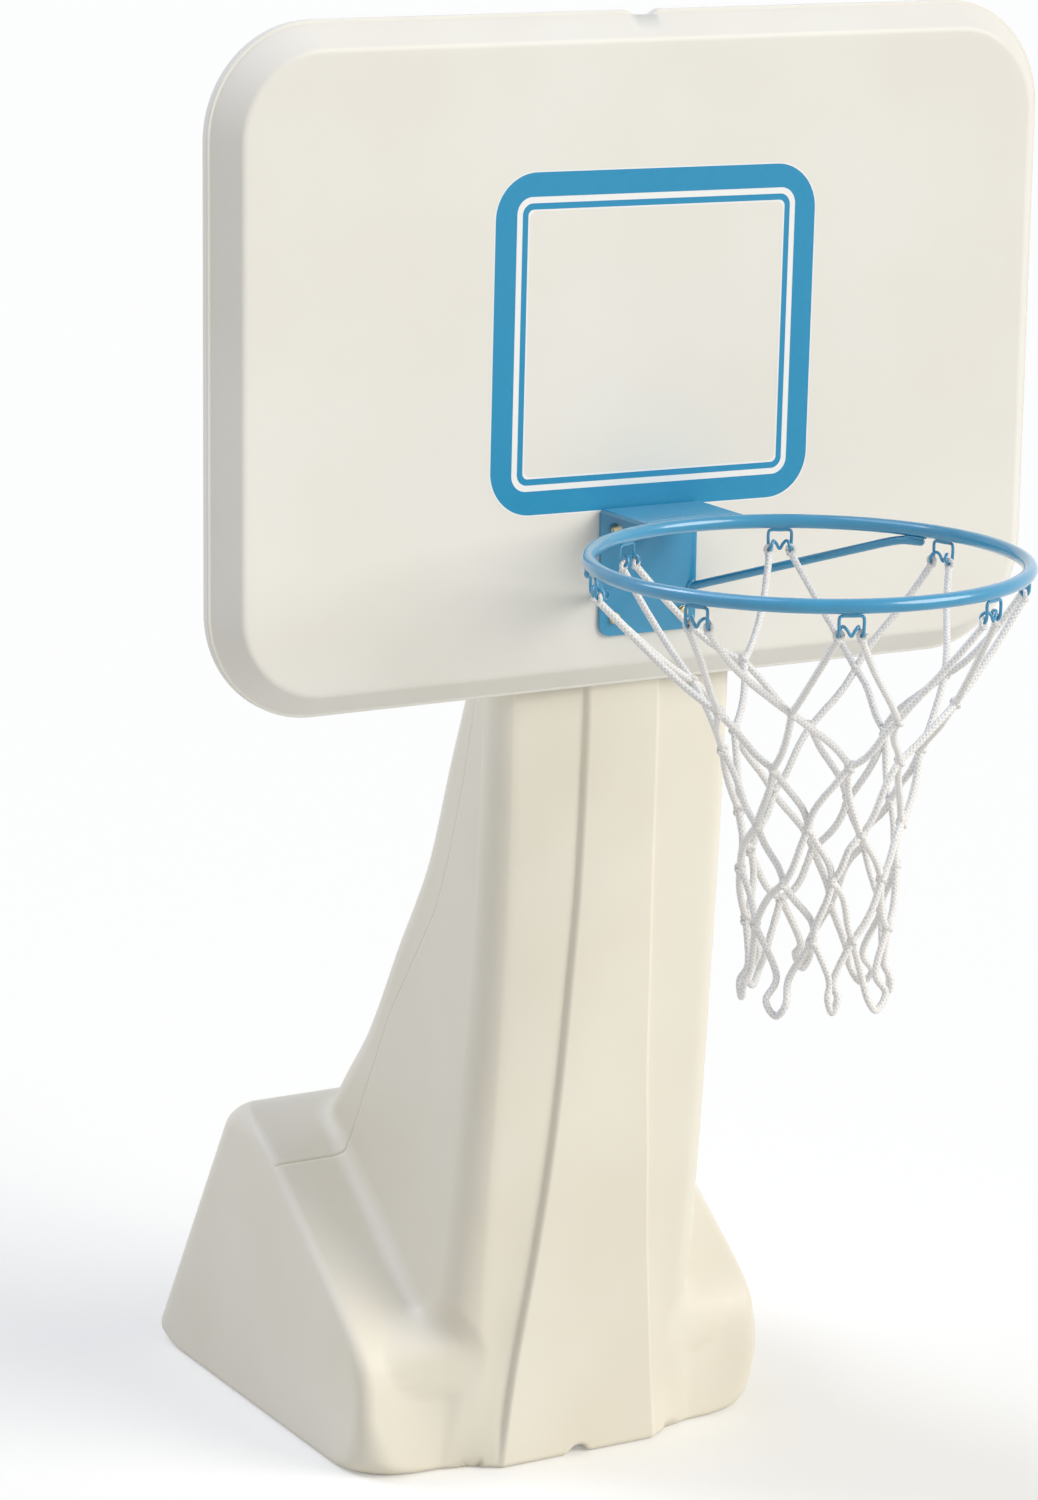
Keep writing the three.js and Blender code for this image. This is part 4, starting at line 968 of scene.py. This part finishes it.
pale = [print_ring(419, 386, 53, 44.5, 9, 0.1)]
blue = [print_ring(416, 383, 52, 27, 19, 0.18), print_ring(348, 315, 13, 7, 7, 0.18)]
make_piece("target_pale", pale, white_ink, sharp=30)
make_piece("target_blue", blue, blue_ink, sharp=30)

# %% [markdown]
# ## Rim
# The ring is bent from rod. A plate is bent once over a small radius, bolted flat to the board and
# welded to the ring along its front edge. Two thin braces rise from the plate's lower half and lie
# along the ring's underside. The welds are low rippled beads.

# %% Ring and its welds
BRACE_TURN, WELD_RIPPLE, PLATE_WELD, BRACE_WELD = 27, 0.1, 2.4, 1.8
UP = np.array([0.0, 0.0, 1.0])


def on_ring(angle, radius, rise):
    """Points of a circle about the ring's middle, at angles from the right, some mm above it."""
    return stack(radius * np.cos(angle), RING_Y + radius * np.sin(angle), RING_HEIGHT + rise)


def ring_part(low, high, count, radius, rise):
    """Part of a circle about the ring's middle, from one angle in degrees to another."""
    return on_ring(np.radians(np.linspace(low, high, count)), radius, rise)


def weld(path, radius):
    """Bead of weld: a tube with round ends whose radius ripples along it."""
    paths, radii = round_ends(path, radius)
    ripple = 1 + WELD_RIPPLE * np.sin(np.arange(len(radii)) * 1.9)
    return swept(paths, radii * ripple, UP, 10)[0][0]


ring_shell = swept(on_ring(full_turn(192), RING_RADIUS, 0), RING_ROD / 2, UP, 28, True)[0][0]
plate_bead = weld(ring_part(75.5, 104.5, 60, RING_RADIUS + 8.2, 5.4), PLATE_WELD)
brace_beads = [weld(ring_part(angle - 2.6, angle + 2.6, 16, RING_RADIUS + side, -8.6), BRACE_WELD)
               for angle in (BRACE_TURN, 180 - BRACE_TURN) for side in (-3.6, 3.6)]
ring_shells = [ring_shell, plate_bead, *brace_beads]
make_piece("ring", ring_shells, blue_coat, ["rim_ring"])

# %% Bracket
BRACKET_WIDTH, BRACKET_DROP, BEND, FOOT_ROUND, SHEET_EDGE, RING_SEAM = 127, 148, 8, 14, 0.9, 7.2
sheet_columns = corner_columns(4, np.linspace(-0.95, 0.95, 24))
rise = np.array([0, 0.25, 0.8, 1.5, 2.4, 3.6, 5, 6.6, 8.4, 10.4, 12.4, 14,
                 *np.linspace(20, BRACKET_DROP - BEND, 16)])
foot_half = BRACKET_WIDTH / 2 - FOOT_ROUND
foot_half = foot_half + np.sqrt(FOOT_ROUND ** 2 - np.clip(FOOT_ROUND - rise, 0, None) ** 2)
thin = np.interp(rise, [0, 0.25, 0.8], [0.7, 0.88, 1])
rows = []
for z, half, share in zip(PLATE_TOP - BRACKET_DROP + rise, foot_half, thin):
    x, o = rectangle(sheet_columns, 2 * half, SHEET, SHEET_EDGE).T
    rows.append(stack(x, PLATE_BACK - SHEET / 2 + o * share, z))
x, o = rectangle(sheet_columns, BRACKET_WIDTH, SHEET, SHEET_EDGE).T
reach, bend_y, bend_z = BEND - SHEET / 2 + o, PLATE_BACK - BEND, PLATE_TOP - BEND
for a in np.linspace(0, math.pi / 2, 12)[1:]:
    rows.append(stack(x, bend_y + reach * math.cos(a), bend_z + reach * math.sin(a)))
shelf_end = RING_Y + np.sqrt((RING_RADIUS + RING_SEAM) ** 2 - x ** 2)
for share in np.linspace(0, 1, 14)[1:]:
    rows.append(stack(x, bend_y + (shelf_end - bend_y) * share, PLATE_TOP - SHEET / 2 + o))
bracket = shell_of(np.array(rows))
make_piece("bracket", [bracket], blue_coat, ["rim_bracket"], sharp=50)

# %% Braces
BRACE_ROD, BRACE_SIDE, BRACE_DROP, LANDING, TAIL, BRACE_BEND = 10, 58, 99, 20, 6, 24
under_ring = -RING_ROD / 2 - GAP - BRACE_ROD / 2
brace_shells = []
for side in (-1, 1):
    foot = np.array([side * BRACE_SIDE, PLATE_FACE, PLATE_TOP - BRACE_DROP])
    head = on_ring(math.radians(BRACE_TURN), RING_RADIUS, under_ring) * [side, 1, 1]
    flat = unit((head - foot) * np.array([1, 1, 0]))
    landing = head - LANDING * flat
    start = foot + 3 * unit(foot - landing)
    legs = [start, (start + landing) / 2, landing, head, head + TAIL * flat]
    bar = soften(legs, BRACE_BEND, 10)
    paths, radii = round_ends(bar, BRACE_ROD / 2)
    brace_shells += swept(paths, radii, UP, 20)[0]
    collar = moved([(BRACE_ROD / 2 - 1, 1), (8.0, 0.5), (7.4, -1.2), (6.1, -2.6),
                    (BRACE_ROD / 2 - 1, -3.4)], PLATE_FACE)
    brace_shells.append(turned(collar, "y", foot[[0, 2]], 32, closed=True))
make_piece("braces", brace_shells, blue_coat, ["brace_left", "brace_right"])

# %% Net hooks
HOOK_ANGLES = [-68, -28, 18, 65, 115, 162, 208, 248]
HOOK_WIRE, HOOK_HALF, HOOK_CURL, HOOK_REACH, HOOK_WELD = 3.6, 13, 9, 25, 1.7
HOOK_TOP = -RING_ROD / 2 - GAP - HOOK_WIRE / 2
HOOK_LOW = HOOK_TOP - HOOK_REACH + HOOK_WIRE
SHARES = np.array([[0, 0, 0], [.75, 0, 0], [1, 0, .14], [1, 0, .75], [.99, .25, 1], [.92, .75, 1],
                   [.8, 1, .8], [.68, .7, .58], [.54, .2, .56], [.3, 0, .72], [0, 0, 1]])
half_wire = SHARES * np.array([HOOK_HALF, HOOK_CURL, HOOK_LOW - HOOK_TOP]) + HOOK_TOP * UP
wire = curve(np.vstack([half_wire[:-1], half_wire[::-1] * np.array([-1, 1, 1])]), 120)
wire_bead = stack(np.linspace(-9, 9, 14), 0, HOOK_TOP + 1.6)


def at_hook(points, degrees):
    """Points of a hook's own frame set under the ring: turned by the angle plus 90, then moved out
    by the ring's radius. Heights are still counted from the ring's middle."""
    a, b = math.radians(degrees + 90), math.radians(degrees)
    x, y = points[..., 0], points[..., 1]
    return stack(x * math.cos(a) - y * math.sin(a) + RING_RADIUS * math.cos(b),
                 x * math.sin(a) + y * math.cos(a) + RING_RADIUS * math.sin(b), points[..., 2])


hook_shells = []
for degrees in HOOK_ANGLES:
    paths, radii = round_ends(at_hook(wire, degrees) + RING_MIDDLE, HOOK_WIRE / 2, 3)
    hook_shells += swept(paths, radii, (0.0, 0.3, 1.0), 12)[0]
    hook_shells.append(weld(at_hook(wire_bead, degrees) + RING_MIDDLE, HOOK_WELD))
hook_nodes = [f"net_hook_{i + 1}" for i in range(len(HOOK_ANGLES))]
make_piece("net_hooks", hook_shells, blue_coat, hook_nodes)

# %% [markdown]
# ## Net
# Eight hooks carry sixteen strands, which meet in five rows of knots and end in slack loops. Each
# knot has slipped a little round the net or down it, by the shares in the tables, as in a net that
# has been used. Every strand bows slightly in or out, so that neighbours pass each other.

# %% Knots of the net
CORD, LOOP_CORD = 8.0, 4.6
ROWS_BELOW, ROW_RADII = np.array([140, 203, 278, 335, 398.0]), [145, 109, 90, 86, 78]
SWAY, LEVEL = np.array([17.0, -10.0, 0.0]), np.array([1, 1, 0])
SLIP_ROUND = np.array([
    [.05, -.08, .03, .1, -.05, .05, -.1, 0], [-.1, .08, 0, -.05, .1, -.08, .05, .08],
    [.08, .05, -.1, .05, -.05, .1, .03, -.08], [-.05, .1, .05, -.1, .08, -.1, .12, -.05],
    [.1, -.1, .08, -.05, .05, -.12, .15, -.08]])
SLIP_DOWN = np.array([
    [.03, -.05, .05, -.03, 0, .05, -.03, .03], [-.05, .08, 0, .05, -.08, .03, .05, -.05],
    [.05, -.05, .08, -.05, .05, 0, -.08, .05], [0, .05, -.08, .08, -.05, .05, .05, -.05],
    [.05, -.03, .05, -.08, .08, -.05, .03, .05]])
above = np.array(HOOK_ANGLES, float)
knots = []
for row, (below, radius) in enumerate(zip(ROWS_BELOW, ROW_RADII)):
    wrapped = np.append(above, above[0] + 360)
    middles = (wrapped[:-1] + wrapped[1:]) / 2
    above = middles if row % 2 == 0 else np.roll(middles, 1) - np.array([360] + 7 * [0])
    turn = np.radians(above + 45 * SLIP_ROUND[row])
    pitch = below - (ROWS_BELOW[row - 1] if row else 0)
    height = -below - pitch * SLIP_DOWN[row]
    knots.append(stack(radius * np.cos(turn), radius * np.sin(turn), height) + SWAY)
knots = np.array(knots)
print("knots:", knots.shape[:2])


# %% Strands between the knots
WANDER_BOW, WANDER_WAVE, STRAND_STEPS, LOOP_STEPS = 7, 3.5, 26, 60


def outward(points):
    """Level unit vectors away from the net's own middle line."""
    return unit((points - SWAY) * LEVEL)


def strands(starts, ends, bulge, slack):
    """Smooth cords from starts to ends, bowed outward by bulge mm and hanging low by slack mm.

    Each also wanders sideways by its own seeded amount: one bow and one wave, a few mm each.
    """
    shares = np.array([0, 0.12, 0.3, 0.5, 0.7, 0.88, 1])[:, None]
    paths = starts[:, None] * (1 - shares) + ends[:, None] * shares
    bow, wave = 4 * shares * (1 - shares), np.sin(2 * math.pi * shares)
    aside = np.cross(outward(paths), unit(ends - starts)[:, None])
    wander = wander_seed.uniform(-1, 1, (2, len(starts), 1, 1))
    paths = paths + bow * bulge * outward(paths) - bow * slack * UP
    wander = WANDER_BOW * bow * wander[0] + WANDER_WAVE * wave * wander[1]
    return curve(paths + aside * wander, STRAND_STEPS)


wander_seed = np.random.default_rng(11)
EYE_DROP = 4.1
eyes = np.array([[side * HOOK_HALF * 0.95, HOOK_CURL / 2, HOOK_LOW - EYE_DROP] for side in (-1, 1)])
eyes = np.concatenate([at_hook(eyes, degrees) for degrees in HOOK_ANGLES])
first_knots = knots[0][[(i // 2 - (1 - i % 2)) % 8 for i in range(16)]]
paths = [strands(eyes, first_knots, -3.0, 9.0)]
for row in range(4):
    for back, bulge in (((row + 1) % 2, -3.2), ((row + 1) % 2 - 1, 3.2)):
        paths.append(strands(knots[row], knots[row + 1][(np.arange(8) + back) % 8], bulge, 2.0))
paths = np.concatenate(paths)

# %% Slack loops below the last knots
LOOP_RADIUS, LOOP_BELOW, LOOP_SPREAD, LOOP_LIFT = 82, 483, 85, 16
last, after = knots[-1], np.roll(knots[-1], -1, 0)
drops = np.array([-.05, .03, -.08, .05, 0, .06, -.04, .02]) * LOOP_SPREAD
low = outward((last + after) / 2) * LOOP_RADIUS + SWAY - UP * (LOOP_BELOW + drops)[:, None]
pinch = wander_seed.uniform(0.02, 0.2, (8, 1))
apart = (after - last) * LEVEL
lean, lift, squeeze = apart * (pinch + 0.06), LOOP_LIFT * UP, apart * pinch
waist = (last + after) / 2 * LEVEL + (last * 0.45 + low * 0.55) * UP
loops = [last, waist - squeeze, low - lean + lift, low, low + lean + lift, waist + squeeze, after]
loops = curve(np.stack(loops, 1), LOOP_STEPS)
net_shells, net_lay = [], []
for group in (paths, loops):
    phase = np.arange(group.shape[-2]) * 2.3 + np.arange(len(group))[:, None] * 1.7
    thickness = CORD / 2 * (1 + 0.03 * np.sin(phase))
    made = swept(group + RING_MIDDLE, thickness, (0.3, 0.9, 0.2), 10, width=CORD)
    net_shells += made[0]
    net_lay += made[1]
print("cords:", len(net_shells))


# %% Knots and eyes of cord
def add_turns(middles, rise, axes, radius, thick):
    """Adds closed turns of cord: circles of a radius about an axis, at a rise above each middle."""
    first = unit(np.cross(axes, np.array([0.31, 0.87, 0.38])))
    second, angle = np.cross(axes, first), full_turn(22)[:, None]
    circles = radius * (np.cos(angle) * first[:, None] + np.sin(angle) * second[:, None])
    for path, axis in zip((middles + RING_MIDDLE + rise * UP)[:, None] + circles, axes):
        made = swept(path, thick / 2, axis, 10, True, thick)
        net_shells.extend(made[0])
        net_lay.extend(made[1])


centres = knots.reshape(-1, 3)
out = outward(centres)
spin = np.random.default_rng(7).uniform(-0.25, 0.25, len(centres))[:, None]
for tilt, drop in ((0.62, 2.2), (-0.62, -2.2)):
    axes = unit(UP * math.cos(tilt) + np.cross(out, UP) * math.sin(tilt) + out * spin)
    add_turns(centres, drop, axes, 4.1, 5.0)
hook_turns = np.radians(np.repeat(HOOK_ANGLES, 2) + 180.0)
add_turns(eyes, EYE_DROP, stack(np.cos(hook_turns), np.sin(hook_turns), 0), 4.3, LOOP_CORD)
add_turns(eyes, -1.5, np.tile(UP, (len(eyes), 1)), 2.9, 4.4)
make_piece("cord_net", net_shells, white_cord, ["net"], uv=np.vstack(net_lay))

# %% [markdown]
# ## Bolts, plates and inserts
# Four flanged bolts pass right through the bracket, the board and the neck. Their hexagon heads are
# chamfered and slightly domed, as cold-formed heads are.

# %% Rim bolts, washers and nuts
FLATS, SHANK, WASHER, NUT, SPARE_THREAD, REAR_PLATE = 11.1, 3.2, 1.6, 7, 3, 3
head_seat = PLATE_FACE - GAP
washer_from = NECK_SEAT + GAP + REAR_PLATE + GAP
nut_from = washer_from + WASHER + GAP
length = nut_from + NUT + SPARE_THREAD - head_seat
head = [(0.8, -5.8, 0), (2.6, -5.75, 0), (4.4, -5.55, 0), (5.3, -5.3, 0), (5.75, -4.85, 1),
        (6.5, -4.2, 1), (6.5, -3.4, 1), (6.5, -2.2, 1), (6.5, -1.7, 1), (5.9, -1.45, 0),
        (6.35, -1.25, 0), (6.5, -0.9, 0), (6.5, -0.3, 0), (6.3, 0, 0), (3.4, 0, 0), (SHANK, 0.4, 0)]
shank = [(SHANK, length - 1.2), (2.5, length), (1.0, length)]
nut = [(SHANK + 0.1, 0), (6.2, 0, 1), (6.5, 0.5, 1), (6.5, NUT - 0.7, 1), (5.7, NUT, 1),
       (SHANK + 0.5, NUT), (SHANK + 0.1, NUT - 0.4)]
washer = [(3.5, 0), (8.7, 0), (9, 0.3), (9, WASHER - 0.3), (8.7, WASHER), (3.5, WASHER)]


def fasteners(name, profile, places, material, node, closed=True, flats=0.0):
    """One piece with the same turned part at every place, in place of the numbered CAD nodes."""
    count = 48 if flats else 40
    shells = [turned(profile, "y", place, count, closed, flats) for place in places]
    make_piece(name, shells, material, [f"{node}_{i + 1}" for i in range(len(places))],
               sharp=35)


fasteners("rim_bolts", moved(head + shank, head_seat), BOLT_PLACES, bolt_zinc, "rim_bolt",
          closed=False, flats=FLATS)
fasteners("rim_washers", moved(washer, washer_from), BOLT_PLACES, plain_zinc, "rim_washer")
fasteners("rim_nuts", moved(nut, nut_from), BOLT_PLACES, plain_zinc, "rim_nut",
          flats=FLATS)

# %% Backing plate
REAR_PLATE_WIDTH, REAR_PLATE_HEIGHT = 127, 150
backing_rows = plate_rows(50, [(0.6, 0), (0.15, 0.2), (0, 0.6)], NECK_SEAT + GAP, REAR_PLATE)
backing = slab(corner_columns(12), REAR_PLATE_WIDTH, REAR_PLATE_HEIGHT, 14, backing_rows,
               (0, PLATE_TOP - sum(BOLT_DROPS) / 2))
make_piece("rear_plate", [shell_of(backing)], plain_zinc, ["backing_plate"], sharp=50)

# %% Tab screws, washers and inserts
screw_seat = TAB_BACK + GAP + WASHER + GAP
point = screw_seat - BOARD_BACK
screw = moved([*head, (SHANK, point + 13), (1.0, point + 15)], screw_seat, -1)
insert = [(3.5, GAP), (6.6, GAP), (7, 0.7), (7, 8), (6.5, 8.4), (6.5, 10), (7, 10.4), (7, 17.9),
          (6.6, 18.3), (3.5, 18.3)]
fasteners("tab_screws", screw, SCREW_PLACES, plain_zinc, "board_screw", closed=False,
          flats=FLATS)
fasteners("tab_washers", moved(washer, TAB_BACK + GAP), SCREW_PLACES, plain_zinc,
          "board_washer")
fasteners("board_inserts", moved(insert, BOARD_BACK, -1), SCREW_PLACES, turned_brass,
          "board_insert")

# %% [markdown]
# ## Filler and drain
# The filler cap sits on the far shoulder and the drain plug low on that side. Both turn on their
# own bodies. The cap's rim is scalloped and the plug has a wing, and each has a soft ring under it.

# %% Filler cap and gasket
CAP_LOW, FILLER_TOP, SCALLOPS = SHOULDER + 2, SHOULDER + 16, (12, 1.4)
cap = [(1, 20.3), (14, 20.3), (20, 20.4), (22.5, 21), (24, 21.1), (26.8, 21.1, 0.2),
       (28.6, 20.5, 0.6), (29.6, 19.3, 0.9), (30, 17.7, 1), (30, 6, 1), (30, 0.8, 1), (29.4, 0, 1),
       (25.2, 0), (24.5, 0.6), (24.4, 16.5), (23.8, 17.1), (1, 17.1)]
cap_shell = turned(moved(cap, CAP_LOW), "z", FILLER, 144, lobes=SCALLOPS)
make_piece("cap_moulding", [cap_shell], cap_plastic, ["filler_cap"], "cap", 40)
gasket = soften([(19.2, 0.3), (23.9, 0.3), (23.9, 2.8), (19.2, 2.8)], 0.8, 4, True)
gasket_shell = turned(moved(gasket, FILLER_TOP), "z", FILLER, 64, True)
make_piece("cap_seal", [gasket_shell], black_rubber, ["filler_gasket"], "cap_gasket")

# %% Drain plug and ring
FLANGE_FROM, SEAL_RADIUS, SEAL_ROUND = 3.6, 14, 1.5
plug = [(1, -21), (9.8, -21), (11, -19.6), (11, FLANGE_FROM), (17.4, FLANGE_FROM), (18, 4.3),
        (18, 6.4), (17.2, 7.6), (1, 7.6)]
grip_columns = corner_columns(8)
grip = []
for inset, x in ((0.1, 1.5), (-1.2, 3.7), (-0.6, 4.4), (0, 5.6), (0.1, 9), (0.3, 12.4), (0.7, 13.8),
                 (1.5, 14.7), (2.6, 15)):
    y, z = rectangle(grip_columns, 26, 7, 3.4, inset).T
    grip.append(stack(BOSS_FACE + FLANGE_FROM + x, y + DRAIN[0], z + DRAIN[1]))
plug_shells = [turned(moved(plug, BOSS_FACE), "x", DRAIN, 64), shell_of(np.array(grip))]
make_piece("plug_moulding", plug_shells, cap_plastic, ["drain_plug"], "plug", 40)
angle = full_turn(20)
seal = stack(SEAL_RADIUS + SEAL_ROUND * np.cos(angle), 1.8 + SEAL_ROUND * np.sin(angle))
seal_shell = turned(moved(seal, BOSS_FACE), "x", DRAIN, 64, True)
make_piece("plug_seal", [seal_shell], black_rubber, ["drain_ring"], "plug_ring")

# %% [markdown]
# ## Camera, floor and light
# The camera stands where the photographer stood: left of the hoop and about a metre above the ring,
# with a long lens. The floor is one large pale sheet. It adds a little light of its own for the
# camera, reflections and clear things only, so that it looks white and still carries the soft
# shadow.

# %% Camera
PICTURE, SENSOR = (1038, 1500), 36.0


def add_camera(azimuth, pitch, roll, place, focal, centre):
    """Pinhole camera: focal length and centre in pixels of the picture, which is taller than wide.

    The lens is the focal length times the sensor over the picture's height, and each shift is the
    centre's distance from the picture's middle over that height.
    """
    data = bpy.data.cameras.new("camera")
    data.sensor_fit = "AUTO"
    data.sensor_width = SENSOR
    data.lens = focal * SENSOR / PICTURE[1]
    data.shift_x = (PICTURE[0] / 2 - centre[0]) / PICTURE[1]
    data.shift_y = (centre[1] - PICTURE[1] / 2) / PICTURE[1]
    data.clip_end = 200
    camera = add_object("camera", data)
    camera.location = [c * MM for c in place]
    camera.rotation_mode = "XYZ"
    aim = Euler((math.radians(90 - pitch), 0, math.radians(azimuth))).to_matrix()
    camera.rotation_euler = (aim @ Matrix.Rotation(math.radians(roll), 3, "Z")).to_euler()
    bpy.context.scene.camera = camera
    return camera


camera = add_camera(-29.65, 13.39, 0.82, (-2712, -4942, 2152.8), 4702.2, (527.3, 748.2))
print("lens", round(camera.data.lens, 2), "mm")


# %% Floor and surroundings
FLOOR_REACH, FLOOR_SUNK = 60, 0.0005


def seen_rays(tree):
    """One for the rays of the camera, of reflections and through clear things, else zero."""
    rays = add_node(tree, "LightPath").outputs
    seen = calc(tree, "MAXIMUM", rays["Is Camera Ray"], rays["Is Glossy Ray"])
    return calc(tree, "MAXIMUM", seen, rays["Is Transmission Ray"])


def add_floor(colour, glow):
    """Wide floor: a diffuse sheet plus a glow that only the camera and reflections see."""
    mesh = bpy.data.meshes.new("floor")
    corners = [(-1, -1, 0), (1, -1, 0), (1, 1, 0), (-1, 1, 0)]
    mesh.from_pydata([[FLOOR_REACH * c for c in corner] for corner in corners], [], [(0, 1, 2, 3)])
    floor = add_object("floor", mesh)
    floor.location.z = -FLOOR_SUNK
    material = bpy.data.materials.new("floor")
    material.use_nodes = True
    tree = material.node_tree
    tree.nodes.clear()
    strength = calc(tree, "MULTIPLY", seen_rays(tree), glow)
    diffuse = add_node(tree, "BsdfDiffuse", {"Color": colour})
    light = add_node(tree, "Emission", {"Color": (1, 1, 1, 1), "Strength": strength})
    both = add_node(tree, "AddShader", {0: diffuse.outputs[0], 1: light.outputs[0]})
    tree.links.new(both.outputs[0], add_node(tree, "OutputMaterial").inputs["Surface"])
    mesh.materials.append(material)


def add_world(colour, lighting, seen):
    """Even surroundings: one level as the camera and reflections see it, another as it lights."""
    world = bpy.data.worlds.new("studio")
    bpy.context.scene.world = world
    world.use_nodes = True
    tree = world.node_tree
    tree.nodes.clear()
    levels = {"Value": seen_rays(tree), "To Min": lighting, "To Max": seen}
    level = add_node(tree, "MapRange", levels).outputs["Result"]
    air = add_node(tree, "Background", {"Color": colour, "Strength": level})
    tree.links.new(air.outputs[0], add_node(tree, "OutputWorld").inputs["Surface"])


def add_sun(name, azimuth, elevation, softness, strength, colour):
    """Distant lamp: azimuth from the hoop's front towards +X, elevation and its disc's width."""
    data = bpy.data.lights.new(name, "SUN")
    data.angle = math.radians(softness)
    data.energy = strength
    data.color = colour
    lamp = add_object(name, data)
    lamp.rotation_euler = (math.radians(90 - elevation), 0, math.radians(azimuth))
    return lamp


add_floor((0.74, 0.725, 0.68, 1), 0.28)
add_world((0.955, 0.97, 1.0, 1), 0.34, 1.02)
key = add_sun("key", 38, 28, 42, 2.15, (1.0, 0.98, 0.94))
fill = add_sun("fill", -135, 47, 24, 0.69, (0.94, 0.95, 1.0))
sky = add_sun("sky", -117, 64, 40, 0.84, (0.62, 0.73, 1.0))
bpy.context.scene.view_settings.view_transform = "Standard"
print("lamps:", key.name, fill.name, sky.name)

# %% Update the scene at the end
bpy.context.view_layer.update()
